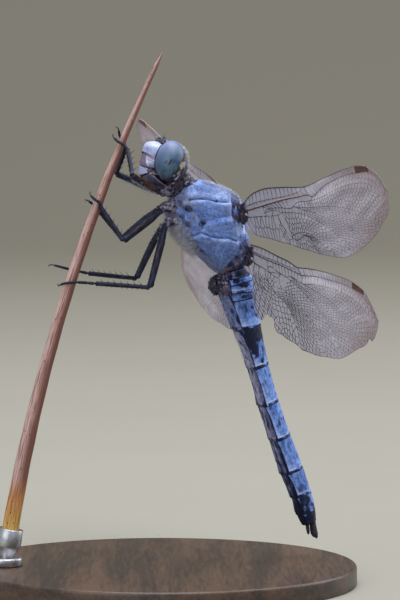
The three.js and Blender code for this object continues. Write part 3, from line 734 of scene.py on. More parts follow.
def thorax():
    """The thorax's shell with its markings: patches and hinges dark, the folds darkened by painted shade, the
    back and the plates' upper edges painted lighter as highlight, the low front and the underside grey brown."""
    points, normal, side_view, across, flank, hinge, pit = thorax_surface()
    along, up = side_view[..., 0], side_view[..., 1]
    cloud = ripple(points, 0.8, 8)
    worn = 1.1 * pit - 0.14
    # Painted shade: each fold is darkened along its line.
    for line, _, _, dark, wide in FOLDS:
        worn = worn + dark * bell(line_distance(side_view, line), wide) * flank * (1 + 0.5 * cloud)
    for place, height, size, strength in DARK_DOTS:
        worn = worn + strength * bell(np.hypot(along - place, up - height), size) * flank
    between = bell(along + 0.9, 0.62)
    worn = worn + hinge * (0.25 - 0.35 * between + 0.5 * cloud)
    low_front = ramp(-up, 1.9, 2.8) * ramp(along, 0.1, 1.1)
    places, heights = np.array(LOWER_SUTURE)[::-1].T
    below = ramp(np.interp(along, places, heights) - up, 0.0, 0.15) * ramp(-along, -0.3, 0.4)
    worn = worn + 0.5 * ramp(along, 4.6, 5.2) + low_front * (0.18 + 0.4 * cloud) + 0.2 * below
    worn = worn + 0.4 * ramp(-up, 3.0, 4.0) * (1 - flank) + 0.15 * ramp(-along, 3.6, 4.3)
    warm = 0.62 * low_front * (1 + cloud) + 0.5 * ramp(-along, 3.7, 4.4) + 0.8 * below
    warm = warm + 0.6 * (1 - ramp(across, 1.0, 1.5)) * ramp(-up, 1.0, 1.6)
    warm = warm + hinge * bell(along - 0.35, 0.25)
    rust = hinge * (1 - between) * (0.6 + 0.4 * cloud) + 0.9 * ramp(-along, 3.9, 4.4)
    # Painted highlight: the pale rises towards the back, runs along the swollen plates' edges and pools on
    # the upper front plate, as light from above.
    snow = (0.18 + 0.35 * ramp(up, 0.2, 2.0) * (1 - hinge) + 0.9 * between * hinge
            + 0.2 * ramp(along, 2.6, 3.6))
    for line, shift, high, wide in SWELLS:
        edge = bell(line_distance(side_view, np.add(line, shift)), 1.2 * wide)
        snow = snow + 0.85 * high * edge * flank * (1 + 0.8 * cloud)
    snow = snow + 0.3 * bell(np.hypot(along - 2.9, up - 0.9), 0.9)
    part = skin(points, worn=worn, warm=warm, snow=snow, rust=rust)
    piece("thorax", [placed(part, to_world)], BLOOM, ["thorax"])
    return points, normal


def thorax_middle():
    """The middle of the box round the thorax's own surface, turned as the body is but not yet moved."""
    turns = np.arange(THORAX_SIDES) * TAU / THORAX_SIDES
    x = np.linspace(THORAX[0][0], THORAX[-1][0], THORAX_RINGS)
    points = trunk(THORAX, x, turns, THORAX_BOXINESS).reshape(-1, 3) @ BODY_TURN.T
    return (points.min(0) + points.max(0)) / 2


def box_middle(node):
    """The middle of a node's box, in millimetres."""
    low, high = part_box(node)
    return (np.array(low) + np.array(high)) / 2 / MM


BODY_PLACE = box_middle("thorax") - thorax_middle()


def to_world(points):
    """From the body's frame to the model's."""
    return points @ BODY_TURN.T + BODY_PLACE


# ---- Abdomen -------------------------------------------------------------------------------------

ABDOMEN = [
    (-4.9, 1.3, 1.7, 0.5, -0.9), (-5.7, 1.6, 2.12, 0.0, -1.25), (-6.6, 1.75, 2.3, -0.45, -1.45),
    (-7.6, 1.65, 2.15, -0.6, -1.55), (-8.7, 1.5, 2.0, -0.62, -1.5), (-11.1, 1.45, 1.75, -0.5, -1.15),
    (-13.4, 1.5, 1.53, -0.35, -0.85), (-15.3, 1.55, 1.42, -0.32, -0.63), (-19.3, 1.6, 1.38, -0.28, -0.65),
    (-23.1, 1.55, 1.62, -0.1, -0.5), (-26.8, 1.4, 1.95, 0.15, -0.4), (-29.5, 1.15, 2.08, 0.45, -0.02),
    (-31.4, 0.95, 2.0, 0.75, 0.05), (-32.6, 0.75, 1.8, 0.9, 0.4),
]
ABDOMEN_BOXINESS = 1.9
JOINTS = [-4.9, -5.7, -7.3, -11.1, -15.3, -19.3, -23.1, -26.8, -29.5, -31.4, -32.6]
# How far each joint's plane leans: its top is this share of its height further back.
JOINT_LEANS = [0.05, 0.14, 0.27, 0.2, 0.04, 0, 0, 0, 0, 0, 0]
TUCK = 0.32                      # how far a segment's front edge slides inside the one before it
SEGMENT_SIDES = 150


def segment(number):
    """One abdomen segment: the trunk's sections between two joints, drawn in by a tenth at the front edge,
    flared into a lip at the rear edge, with a keel on the back, one along each side and a fold under each.
    Ring lines, keels and patches are dark. A painted shadow runs just under each side keel, and the upper
    side is painted paler towards the rear as highlight."""
    front, rear = JOINTS[number - 1], JOINTS[number]
    length = front - rear
    rings = max(26, int(length / 0.05))
    s = np.linspace(0, 1, rings)
    x = front + TUCK * (1 - s) - (length - 0.03) * s
    turns = np.arange(SEGMENT_SIDES) * TAU / SEGMENT_SIDES
    points = trunk(ABDOMEN, np.minimum(x, ABDOMEN[0][0]), turns, ABDOMEN_BOXINESS)
    points[..., 0] = x[:, None]
    middle = points.mean(1, keepdims=True)
    from_front = (front - x)[:, None]
    from_rear = (x - rear)[:, None]
    size = 1 - 0.1 * ramp(-from_front, -0.12, 0.22) - 0.25 * ramp(-from_rear, -0.06, 0.03)
    points[..., 1:] = middle[..., 1:] + (points[..., 1:] - middle[..., 1:]) * size[..., None]
    points[..., 0] -= np.interp(-x, np.negative(JOINTS), JOINT_LEANS)[:, None] * (points[..., 2] - 0.4)
    normal = outward(points)
    angle = np.where(turns > np.pi, turns - TAU, turns)
    aside = np.minimum(np.abs(angle), np.abs(np.abs(angle) - np.pi)) * np.sign(np.sin(turns))
    drop = -0.4 * np.exp(-from_front / 0.7) - 0.12
    keel = bell(aside - drop, 0.055)
    fold = bell(aside - drop + 0.16, 0.09)
    upper = ramp(aside - drop, -0.02, 0.06)
    belly = bell(np.abs(angle + np.pi / 2) - 0.42, 0.09)
    back = bell(angle - np.pi / 2, 0.07)
    lip = bell(from_rear - 0.09, 0.07)
    ring = bell(from_rear - 0.24, 0.06)
    height = 0.05 * keel - 0.06 * fold - 0.07 * belly + 0.05 * back + 0.015 * lip - 0.025 * ring
    height = height + 0.1 * (1 - upper) * ramp(from_rear, 1.2, 0.2)
    height = height + 0.012 * ripple(points, 0.7, 20 + number) + 0.02 * ripple(points, 1.9, 40 + number)
    cloud = ripple(points, 0.9, 80 + number)
    streak = ripple(points * [0.3, 1, 1], 0.45, 90 + number)
    behind = number > 3
    band = ramp(from_rear, 0.34, 0.2) * (0.3 if number < 3 else 0.75) * (1 + 0.6 * cloud)
    worn = 0.85 * keel * (1 - 0.4 * bell(from_front, 0.4)) + band * (0.4 + 0.6 * upper) + 0.3 * back
    worn = worn + 1.3 * ramp(-from_front, -0.05, 0.05) + 0.9 * ramp(-from_rear, -0.03, 0.02)
    # Painted shadow: a dark band just under each side keel.
    worn = worn + 0.12 * (1 - upper) + (0.7 if behind else 0.2) * bell(aside - drop + 0.13, 0.1)
    # Painted highlight: later grows towards the segment's rear, where the upper side is painted paler and
    # less dark.
    later = ramp(from_rear, 0.5 * length, 0.0)
    worn = worn + (0.12 * cloud + 0.2 * streak + (0.22 if number in (3, 4) else 0.1) - 0.2 * later) * upper
    warm = (0.75 if behind else 0.6) * (1 - upper) + 0 * from_rear
    snow = (0.3 * bell(from_rear - 0.4, 0.1) * (1 + cloud) + 0.08 * upper
            + 0.3 * bell(aside - drop - 0.2, 0.16))
    lower_edge = 0.15 + 0.25 * streak + 0.55 * ramp(-aside, 0.6, 1.3)
    snow = snow + 0.22 * later * upper + (lower_edge if behind else 0.0) * (1 - upper)
    worn = worn + (0.35 * streak + (0.09 * (number - 4) if number > 4 else 0.0)) * (1 - upper)
    snow = snow + 0.5 * ramp(angle, 1.0, 1.5) * (number in (2, 3))
    rust = 0.9 * bell(from_front - 0.12, 0.2) * ramp(aside, 0.9, -0.3) * (number in (3, 4))
    if number < 3:
        rust = rust + 1.1 * (1 - upper) + (0.55 if number == 1 else 0.0)
        warm = 0.3 * warm
        height = height + 0.09 * ripple(points, 0.4, 86) * (1 - upper)
    worn = worn + (0.2 * (number - 8) if number > 8 else 0) * (1 + cloud)
    if number in CROSS_LINES:
        off = x[:, None] - CROSS_LINES[number] - 0.1 * (points[..., 2] - 0.4)
        line = bell(off, 0.05) * upper
        height = height - 0.05 * line + 0.03 * bell(off - 0.12, 0.09) * upper
        worn = worn + 0.8 * line
    for where, about, size_along, size_about, amount in DARK_PATCHES.get(number, []):
        off = np.hypot((x[:, None] - where) / size_along, (np.abs(angle - np.pi / 2) - about) / size_about)
        worn = worn + 1.15 * amount * (1 - ramp(off + 0.22 * ripple(points, 0.5, 84), 0.45, 1.25))
    height = height * ramp(from_front, -0.25, 0.1)
    part = skin(points + normal * height[..., None], worn=worn + 0 * height, warm=warm + 0 * height,
                snow=snow + 0 * height, rust=rust + 0 * height)
    teeth = rim_teeth(points, normal, rings)
    name = f"abdomen_{number}"
    piece(name, [placed(part, to_world)], BLOOM, [name])
    return points, normal, teeth


# Raised lines across a segment: its number and their place along the body.
CROSS_LINES = {2: -6.35, 3: -8.05}
# Dark patches by segment: place, turn from the back, half length, half turn, strength.
DARK_PATCHES = {
    1: [(-5.3, 1.1, 0.3, 0.6, 0.7)],
    2: [(-6.45, 1.05, 0.3, 0.28, 0.9), (-5.95, 1.45, 0.3, 0.3, 0.6)],
    3: [(-7.7, 0.95, 0.25, 0.4, 0.35), (-8.9, 0.8, 0.14, 0.1, 0.9), (-9.8, 0.6, 0.16, 0.11, 0.8)],
    4: [(-11.7, 0.95, 0.85, 1.05, 1.0), (-12.9, 1.35, 1.2, 0.27, 0.75), (-14.6, 1.0, 0.26, 0.15, 0.9)],
    6: [(-21.0, 0.8, 0.2, 0.12, 0.35)],
    8: [(-28.7, 1.1, 0.5, 0.35, 0.3)],
    9: [(-30.1, 1.35, 0.6, 0.5, 0.5), (-30.9, 1.1, 0.5, 0.7, 0.35)],
    10: [(-32.0, 1.0, 0.7, 1.5, 0.55)],
}


def rim_teeth(points, normal, rings):
    """Minute spikes round a segment's rear lip, pointing backwards."""
    ring = points[int(rings * 0.985) - 1, ::2]
    out = normal[int(rings * 0.985) - 1, ::2]
    return spikes(ring + out * 0.02, ring + out * 0.03 + np.array([-0.09, 0, 0]), 0.012)


def spindle(start, end, profile, across=(0, 0, 1), **shape):
    """A short tapering limb in the body's frame, carried to the model's frame."""
    return placed(limb(start, end, profile, 20, across, **shape), to_world)


def tail():
    """The two cerci, swollen past the middle and pointed, and the shorter epiproct below them."""
    profile = [(0, 0.16), (0.12, 0.2), (0.45, 0.24), (0.75, 0.27), (0.92, 0.17), (1, 0.03)]
    for side, sign in (("left", 1), ("right", -1)):
        name = f"cercus_{side}"
        part = spindle((-32.3, sign * 0.36, 1.5), (-34.35, sign * 0.42, 1.25), profile, bow=-0.06)
        piece(name, [part], SHELL, [name])
    blunt = [(0, 0.2), (0.2, 0.27), (0.7, 0.25), (0.93, 0.17), (1, 0.05)]
    piece("epiproct", [spindle((-32.3, 0, 0.86), (-33.75, 0, 0.64), blunt, flat=0.7)], SHELL,
          ["epiproct"])


# Lobes at each side of the bulge under the second segment: place, size, how brown and how pale.
GENITAL_LOBES = [
    ((-5.35, 0.5, -0.95), (0.4, 0.45, 0.5), 0.2, 0.15), ((-5.8, 0.75, -1.05), (0.42, 0.4, 0.42), 0.1, 0.3),
    ((-6.3, 0.7, -1.2), (0.4, 0.4, 0.42), 0.1, 0.3), ((-6.05, 1.15, -0.72), (0.4, 0.3, 0.36), 0.55, 0.5),
    ((-5.5, 1.0, -0.45), (0.34, 0.34, 0.4), 0.2, 0.4), ((-6.72, 0.5, -1.35), (0.2, 0.5, 0.3), 0.5, 0.2),
]


def genitalia():
    """The bulge under the second segment: an uneven dome with lobes at its sides, two hooks and a lobe
    behind."""
    _, dome = ball((-5.95, 0, -1.58), (0.95, 0.72, 0.74), rings=60, sides=72)
    normal = outward(dome)
    rough = 0.12 * ripple(dome, 0.45, 71) + 0.05 * ripple(dome, 0.2, 72)
    dome = dome + normal * rough[..., None]
    lobe_shape = [(0, 0.2), (0.4, 0.24), (0.8, 0.16), (1, 0.03)]
    lilac = 0.1 + 0.35 * ripple(dome, 0.3, 74)
    parts = [placed(skin(dome, warm=0.1 + 0.4 * ripple(dome, 0.4, 73), snow=lilac), to_world)]
    for number, (place, size, brown, pale) in enumerate(GENITAL_LOBES):
        _, lobe = ball(place, size, rings=30, sides=36)
        lobe = roughened(lobe, 0.08 * ripple(lobe, 0.3, 130 + number))
        for sign in (1, -1):
            parts.append(placed(skin(mirrored(lobe, sign), warm=brown + 0.4 * ripple(lobe, 0.4, 75),
                                     snow=pale + 0.35 * ripple(lobe, 0.35, 76)), to_world))
    for sign in (1, -1):
        parts.append(spindle((-5.7, sign * 0.3, -2.0), (-6.15, sign * 0.2, -2.42), lobe_shape, bow=0.05))
    parts.append(spindle((-6.4, 0, -1.7), (-6.85, 0, -2.15), lobe_shape, across=(0, 1, 0)))
    piece("accessory_genitalia", parts, SHELL, ["accessory_genitalia"])
    return dome, normal


# ---- Wings ---------------------------------------------------------------------------------------

WING_POSES = {
    "forewing_left": {"root": (1.25, 2.37, 2.55), "sweep": 9.0, "rise": 5.75, "twist": 1.4},
    "hindwing_left": {"root": (-3.15, 2.16, 2.16), "sweep": -1.6, "rise": 1.7, "twist": -9.1},
    "forewing_right": {"root": (1.27, -2.28, 2.88), "sweep": 12.2, "rise": 2.6, "twist": 3.6},
    "hindwing_right": {"root": (-2.47, -2.17, 2.59), "sweep": -5.4, "rise": 4.4, "twist": -7.5},
}

ONE_ROW = 9.0                    # a cell height so large that its field has a single row of cells

# Outlines and veins lie in the wing's plane: out along the span, and back from the front edge's line.
FORE = {
    "front": [(0.5, -0.1), (2.4, -0.68), (6.3, -1.04), (12.0, -0.6), (17.5, 0), (23, -0.22), (29, -0.4),
              (32.5, -0.15), (35.0, 1.05), (36.0, 2.75)],
    "rear": [(0.1, 1.6), (0.4, 2.35), (1.0, 2.95), (2.3, 3.38), (4.5, 3.9), (9.2, 5.08), (15.7, 6.65),
             (21.5, 7.62), (27, 7.1), (31.5, 5.85), (35.2, 4.1), (36.0, 2.75)],
    "stigma": [(30.6, -0.36), (33.3, -0.02), (33.6, 0.52), (30.3, 0.3)],
    "nodus": [(17.45, -0.02), (17.5, 0.25), (17.6, 0.9), (18.2, 1.15), (18.15, 1.5)],
    "subcosta": [(0.3, 0.1), (4, 0.0), (8, 0.1), (12, 0.3), (15.5, 0.3), (17.5, 0.12)],
    "radius": [(0.3, 0.5), (4, 0.55), (8, 0.57), (12, 0.63), (15, 0.78), (17.6, 0.92), (18.3, 1.12),
               (20, 0.9), (22, 0.52), (24, 0.35), (29, 0.18), (31, 0.32), (33.5, 0.65), (35.3, 1.75),
               (35.8, 2.4)],
    "arculus": [(5.2, 0.6), (5.22, 0.95), (5.28, 1.25), (5.22, 1.6)],
    "sector_1": [(5.25, 1.25), (5.95, 1.06), (7.5, 1.04), (9.5, 1.2), (13.3, 1.51), (14.2, 1.26), (15, 1.22),
                 (17, 1.42), (20, 1.5), (24, 1.2), (29, 1.15), (32, 1.5), (34.3, 2.5), (35.6, 3.5)],
    "sector_2": [(13.3, 1.51), (16, 1.98), (19, 2.25), (23, 2.7), (27, 3.5), (31, 4.8), (32.6, 5.45)],
    "sector_3": [(13.3, 1.51), (16, 2.3), (18, 2.8), (20, 3.4), (23, 4.5), (25.5, 5.8), (26.8, 7.12)],
    "media": [(5.25, 1.3), (7.7, 1.24), (9.8, 1.72), (12.6, 2.11), (14.4, 2.4), (16, 2.9), (18, 3.6),
              (20.3, 4.8), (22.4, 6.3), (23.2, 7.55)],
    "cubitus": [(0.3, 1.15), (2.1, 1.33), (5.1, 1.6), (7.2, 1.8), (8.21, 1.89)],
    "triangle_top": [(8.21, 1.89), (9.78, 1.74)],
    "triangle_back": [(9.78, 1.74), (10.1, 2.3), (10.2, 3.0), (9.98, 4.35)],
    "triangle_side": [(8.21, 1.89), (8.7, 2.8), (9.15, 3.65), (9.85, 4.36)],
    "hind_branch": [(9.95, 4.3), (11.5, 4.14), (13.0, 4.2), (15, 4.65), (16.5, 5.3), (18, 6.3), (18.9, 7.28)],
    "anal": [(9.85, 4.36), (9.9, 4.7), (9.7, 5.15)],
    "loop": [(9.95, 4.42), (11.0, 4.78), (11.9, 4.76), (13.4, 4.6), (14.4, 4.95), (15.6, 6.5)],
    "fields": [
        ("front", 1.6, 17.45, "subcosta", 1.6, 17.45, 1.08, ONE_ROW),
        ("subcosta", 2.2, 17.4, "radius", 2.2, 17.5, 1.1, ONE_ROW),
        ("front", 17.5, 30.4, "radius", 18.3, 30.4, 0.8, ONE_ROW),
        ("front", 33.5, 35.7, "radius", 33.4, 35.6, 0.6, ONE_ROW),
        ("radius", 3.9, 12.9, "sector_1", 6.3, 13.1, 1.0, ONE_ROW),
        ("radius", 18.4, 24.0, "sector_1", 16.8, 24.0, 0.8, ONE_ROW),
        ("radius", 24.0, 35.6, "sector_1", 24.0, 35.4, 0.7, 0.55),
        ("sector_1", 14.2, 35.6, "sector_2", 14.2, 32.6, 0.66, 0.48),
        ("sector_2", 16.2, 32.6, "sector_3", 15.6, 26.8, 0.62, 0.46),
        ("sector_1", 6.2, 13.2, "media", 6.2, 13.2, 0.75, ONE_ROW),
        ("sector_3", 13.6, 26.8, "media", 13.6, 23.2, 0.62, 0.46),
        ("media", 10.0, 23.2, "hind_branch", 10.0, 18.9, 0.66, 0.52),
        ("media", 5.6, 9.6, "cubitus", 5.6, 8.1, 1.4, ONE_ROW),
        ("cubitus", 0.8, 8.15, "rear", 0.95, 7.4, 0.72, 1.3),
        ("triangle_side", 1.95, 4.3, "rear", 7.5, 9.5, 0.7, 0.7),
        ("loop", 10.4, 15.4, "rear", 10.1, 15.8, 0.45, 0.6),
        ("hind_branch", 10.3, 18.9, "loop", 10.6, 15.55, 0.5, 0.6),
    ],
}
HIND = {
    "front": [(0.5, -0.55), (3.6, -0.5), (8.5, -0.1), (11.3, 0.1), (14.1, 0.45), (16.3, 0.3), (18.5, 0.2),
              (24.5, 0.18), (29, 0.42), (32.0, 1.2), (34.25, 3.5)],
    "rear": [(0.3, 2.0), (-0.6, 4.6), (0.2, 7.2), (2.2, 9.0), (6, 9.9), (11, 9.9), (17, 9.3), (23, 8.45),
             (28.3, 6.9), (33.0, 5.05), (34.25, 3.5)],
    "stigma": [(28.5, 0.38), (31.2, 0.86), (31.3, 1.35), (28.2, 0.98)],
    "nodus": [(14.1, 0.45), (14.2, 0.75), (14.3, 1.1), (14.9, 1.37), (14.65, 1.9)],
    "subcosta": [(0.3, -0.1), (2, 0.1), (5, 0.3), (8, 0.42), (12, 0.62), (14.2, 0.6)],
    "radius": [(0.3, 0.15), (2.2, 0.4), (5.1, 0.6), (7.5, 0.7), (9.3, 0.75), (11, 0.88), (12.8, 1.02),
               (14.4, 1.15), (16, 1.08), (18, 0.9), (22, 0.82), (28, 0.98), (31, 1.55), (33, 2.7),
               (33.9, 3.5)],
    "arculus": [(5.0, 0.62), (5.15, 0.95), (5.1, 1.4), (5.2, 1.86)],
    "sector_1": [(5.1, 1.4), (5.7, 1.17), (6.9, 1.22), (8.0, 1.44), (9.2, 1.6), (10.45, 1.75), (11.6, 1.56),
                 (13, 1.7), (14.65, 1.94), (18, 1.7), (22, 1.6), (27, 1.8), (30.5, 2.6), (32.6, 3.9),
                 (33.3, 4.85)],
    "sector_2": [(14.65, 1.94), (18, 2.3), (22, 2.85), (26, 3.9), (29, 5.3), (30.3, 6.15)],
    "sector_3": [(11.8, 1.62), (14, 2.15), (17, 2.85), (20, 3.6), (23.5, 4.9), (26.2, 6.7), (26.8, 7.42)],
    "media": [(10.45, 1.75), (11.8, 2.1), (13.7, 2.58), (16.3, 3.4), (18, 3.95), (20, 4.85), (22, 6.0),
              (23.4, 7.5), (23.9, 8.25)],
    "cubitus": [(0.3, 1.12), (1.3, 1.38), (3.3, 1.57), (5.25, 1.87), (6.6, 2.14), (7.59, 2.22)],
    "triangle_top": [(5.25, 1.87), (6.8, 1.66), (8.77, 1.62)],
    "triangle_back": [(8.77, 1.62), (7.59, 2.22)],
    "hind_branch": [(7.59, 2.22), (7.8, 2.6), (8.2, 3.0), (8.8, 3.22), (10.4, 3.62), (12.3, 4.24),
                    (14.5, 4.95), (16.2, 5.9), (18.8, 8.1), (19.4, 8.98)],
    "anal": [(3.86, 1.7), (4.0, 2.2), (4.4, 2.6), (5.1, 3.04), (6.8, 3.9), (8.85, 4.56), (10.4, 5.37),
             (11.1, 5.95), (11.5, 6.6), (11.8, 7.4), (12.5, 9.8)],
    "anal_2": [(2.3, 1.48), (2.05, 2.3), (2.6, 3.05), (3.2, 3.6), (4.4, 4.1), (4.8, 4.8), (5.6, 6.0),
               (6.3, 7.4), (6.8, 9.9)],
    "anal_3": [(0.95, 1.3), (0.7, 2.1), (1.05, 2.9), (1.6, 4.2), (1.7, 5.0), (2.3, 5.9), (2.8, 7.4),
               (3.2, 9.3)],
    "rear_base": [(0.3, 2.0), (-0.6, 4.6), (0.2, 7.2), (1.7, 8.65)],
    "fields": [
        ("front", 1.4, 14.1, "subcosta", 1.4, 14.1, 1.15, ONE_ROW),
        ("subcosta", 2.0, 14.1, "radius", 2.0, 14.3, 1.1, ONE_ROW),
        ("front", 14.4, 28.3, "radius", 14.9, 28.2, 0.8, ONE_ROW),
        ("front", 31.4, 33.9, "radius", 31.2, 33.6, 0.6, ONE_ROW),
        ("radius", 5.6, 14.4, "sector_1", 6.2, 14.4, 0.85, ONE_ROW),
        ("radius", 14.9, 20.0, "sector_1", 14.8, 20.0, 0.8, ONE_ROW),
        ("radius", 20.0, 33.8, "sector_1", 20.0, 33.1, 0.7, 0.6),
        ("sector_1", 15.1, 33.3, "sector_2", 15.1, 30.3, 0.66, 0.48),
        ("sector_2", 15.4, 30.3, "sector_3", 14.6, 26.8, 0.62, 0.46),
        ("sector_1", 12.2, 14.6, "sector_3", 12.2, 14.5, 0.6, ONE_ROW),
        ("sector_3", 12.2, 26.8, "media", 11.4, 23.9, 0.64, 0.48),
        ("media", 10.9, 23.9, "hind_branch", 8.9, 19.4, 0.8, 0.48),
        ("cubitus", 4.1, 7.55, "anal", 4.05, 6.2, 0.8, 0.6),
        ("hind_branch", 7.8, 19.4, "anal", 6.3, 12.5, 0.85, 0.46),
        ("anal", 4.1, 12.5, "anal_2", 2.2, 9.9, 1.0, 0.5),
        ("anal_2", 2.2, 9.9, "anal_3", 1.9, 9.3, 1.1, 0.55),
        ("anal_3", 2.2, 9.3, "rear_base", 2.05, 8.6, 1.1, 0.55),
    ],
}
# The left hind wing has lost a strip of its hind margin, with a bite beside the body.
TORN_REAR = [(0.3, 2.0), (-0.6, 4.6), (-0.1, 6.4), (0.45, 6.95), (0.95, 7.15), (1.95, 6.9), (2.5, 6.55),
             (3.4, 6.3), (3.95, 6.5), (4.85, 6.55), (5.05, 6.75), (4.95, 7.3), (5.05, 7.8), (5.5, 7.92),
             (6.95, 8.0), (7.9, 8.18), (9.5, 8.33), (11.2, 8.56), (12.3, 8.82), (14, 8.8), (17, 8.85),
             (20, 8.6), (23, 8.4), (25, 7.9), (28.3, 6.8), (30.5, 6.05), (31.1, 5.62), (31.35, 5.42),
             (31.6, 5.6), (33, 5), (34.25, 3.5)]
TORN_UP_TO = 5.3                 # how far out the torn margin has lost its vein
NOT_VEINS = ("stigma", "fields", "rear_base")
VEIN_RADIUS = {"front": 0.08, "rear": 0.035, "nodus": 0.06, "subcosta": 0.045, "radius": 0.065,
               "cubitus": 0.06, "triangle_top": 0.045, "triangle_back": 0.045, "triangle_side": 0.045,
               "arculus": 0.045}
SMALL_VEIN, CELL_VEIN = 0.042, 0.031
RELIEF = {"front": (0.05, 0.5), "subcosta": (-0.13, 0.35), "radius": (0.14, 0.4), "cubitus": (0.12, 0.5),
          "sector_1": (-0.06, 0.4), "media": (0.06, 0.5), "hind_branch": (0.07, 0.5)}


def wing_stance(name):
    """The wing's root, and its directions out along the span, back along the chord and up, in the body's
    frame: the span leans forward by the sweep and up by the rise, and the chord turns by the twist."""
    pose = WING_POSES[name]
    sweep, rise, twist = np.radians([pose["sweep"], pose["rise"], pose["twist"]])
    side = np.sign(pose["root"][1])
    span = np.array([np.sin(sweep) * np.cos(rise), side * np.cos(sweep) * np.cos(rise), np.sin(rise)])
    level = np.array([-np.cos(sweep), side * np.sin(sweep), 0])
    above = side * np.cross(span, level)
    chord = level * np.cos(twist) + above * np.sin(twist)
    return np.array(pose["root"]), span, chord, side * np.cross(span, chord)


def wing_height(p, lines):
    """How high the film stands over its plane: pleats along the main veins that fade outwards, a slight
    camber, and gentle waves towards the hind margin."""
    out, back = p[..., 0], p[..., 1]
    fade = 0.35 + 0.65 * (1 - ramp(out, 2, 24))
    height = (0.1 * np.sin(out / 4.5) * ramp(back, 1, 6)
              + 0.04 * np.sin(out * 1.1 + back * 0.9) * ramp(back, 1.5, 5))
    for name, (rise, width) in RELIEF.items():
        height = height + rise * fade * bell(line_distance(p, lines[name][::4]), width)
    return height


def cut(line, low, high, count=90):
    """The stretch of a line between two places along its longer side, out or back."""
    axis = np.argmax(np.ptp(line, axis=0))
    order = np.argsort(line[:, axis])
    goal = np.linspace(low, high, count)
    other = np.interp(goal, line[order, axis], line[order, 1 - axis])
    return np.stack([goal, other] if axis == 0 else [other, goal], -1)


def field_map(lines, field):
    """A field between two veins laid flat: how far it runs, its width at shares of that, and a function that
    carries flat places back onto the wing. Its outer end follows the margin where it reaches it."""
    first, first_low, first_high, second, second_low, second_high = field[:6]
    a, b = cut(lines[first], first_low, first_high), cut(lines[second], second_low, second_high)
    share = np.linspace(0, 1, len(a))
    middle = (a + b) / 2
    along = np.concatenate([[0], np.cumsum(np.linalg.norm(np.diff(middle, axis=0), axis=1))])
    width = np.maximum(np.linalg.norm(b - a, axis=1), 0.05)
    rim = np.vstack([lines["front"], lines["rear"][::-1]])
    ends = [np.argmin(np.linalg.norm(rim - p, axis=1)) for p in (a[-1], b[-1])]
    gaps = [np.linalg.norm(rim[i] - p) for i, p in zip(ends, (a[-1], b[-1]))]
    closes = max(gaps) < 0.35 and ends[1] > ends[0] + 2 and second != "rear"

    def carry(flat):
        """Flat places of the field carried onto the wing, bowed to the margin where the field reaches it."""
        at = np.interp(flat[:, 0], along, share)[:, None]
        t = np.clip(flat[:, 1] / np.interp(flat[:, 0], along, width), 0, 1)[:, None]
        place = [np.stack([np.interp(at[:, 0], share, line[:, k]) for k in (0, 1)], -1) for line in (a, b)]
        p = place[0] * (1 - t) + place[1] * t
        if closes:
            stretch = rim[ends[0]:ends[1] + 1]
            stops = np.linspace(0, 1, len(stretch))
            bow = np.stack([np.interp(t[:, 0], stops, stretch[:, k]) for k in (0, 1)], -1)
            p = p + at ** 5 * (bow - a[-1] * (1 - t) - b[-1] * t)
        return p

    return along, width, carry


def field_cells(lines, field, rng):
    """The cells of one field: scattered middles in columns and staggered rows, and as walls the lines half
    way between neighbouring middles. Middles mirrored over the field's edges make the walls meet them."""
    along, width, carry = field_map(lines, field)
    length, height = field[6:8]
    columns = max(2, int(round(along[-1] / length)))
    middles = []
    for column in range(columns):
        x = along[-1] * (column + 0.5) / columns
        wide = np.interp(x, along, width)
        rows = max(1, int(round(wide / height)))
        y = (np.arange(rows) + 0.5) * wide / rows
        stagger = (np.arange(rows) % 2 - 0.5) * 0.5 * length * (rows > 1)
        middles.append(np.stack([x + stagger, y], -1))
    middles = np.vstack(middles)
    jitter = np.array([0.12 * length, 0.02 if height == ONE_ROW else 0.15 * height])
    middles = middles + rng.uniform(-1, 1, middles.shape) * jitter
    middles[:, 0] = np.clip(middles[:, 0], 0.05, along[-1] - 0.05)
    wide = np.interp(middles[:, 0], along, width)
    middles[:, 1] = np.clip(middles[:, 1], 0.12 * wide, 0.88 * wide)
    flip = np.array([1, -1])
    mirrored = [middles * flip, middles * flip + np.stack([0 * wide, 2 * wide], -1), middles * -flip,
                middles * -flip + [2 * along[-1], 0]]
    everything = np.vstack([middles] + mirrored)
    corners, _, faces, came_from, _, _ = geometry.delaunay_2d_cdt(everything.tolist(), [], [], 0, 1e-5)
    corners = np.array([tuple(corner) for corner in corners])
    real = np.array([min(which) < len(middles) for which in came_from])
    faces = np.array(faces)
    a, b, c = (corners[faces[:, k]] for k in range(3))
    ab, ac = b - a, c - a
    twice = 2 * (ab[:, 0] * ac[:, 1] - ab[:, 1] * ac[:, 0])
    far_b, far_c = (ab ** 2).sum(1), (ac ** 2).sum(1)
    offset = np.stack([ac[:, 1] * far_b - ab[:, 1] * far_c, ab[:, 0] * far_c - ac[:, 0] * far_b], -1)
    centre = a + offset / twice[:, None]
    edges = np.sort(np.concatenate([faces[:, [0, 1]], faces[:, [1, 2]], faces[:, [2, 0]]]), axis=1)
    owner = np.tile(np.arange(len(faces)), 3)
    order = np.lexsort(edges.T)
    edges, owner = edges[order], owner[order]
    twin = np.flatnonzero((edges[1:] == edges[:-1]).all(1) & real[edges[1:]].all(1))
    ends = np.stack([centre[owner[twin]], centre[owner[twin + 1]]], 1)
    ends[..., 0] = np.clip(ends[..., 0], 0, along[-1])
    wide = np.interp(ends[..., 0], along, width)
    catch = np.minimum(0.34 * height, 0.4 * wide)
    ends[..., 1] = np.where(ends[..., 1] < catch, 0,
                            np.where(ends[..., 1] > wide - catch, wide, ends[..., 1]))
    on_edge = (ends[..., 1] == 0).all(1) | (ends[..., 1] == wide).all(1)
    ends = ends[~on_edge & (np.linalg.norm(ends[:, 0] - ends[:, 1], axis=1) > 0.06)]
    return carry(middles), carry(ends.reshape(-1, 2)).reshape(-1, 2, 2)


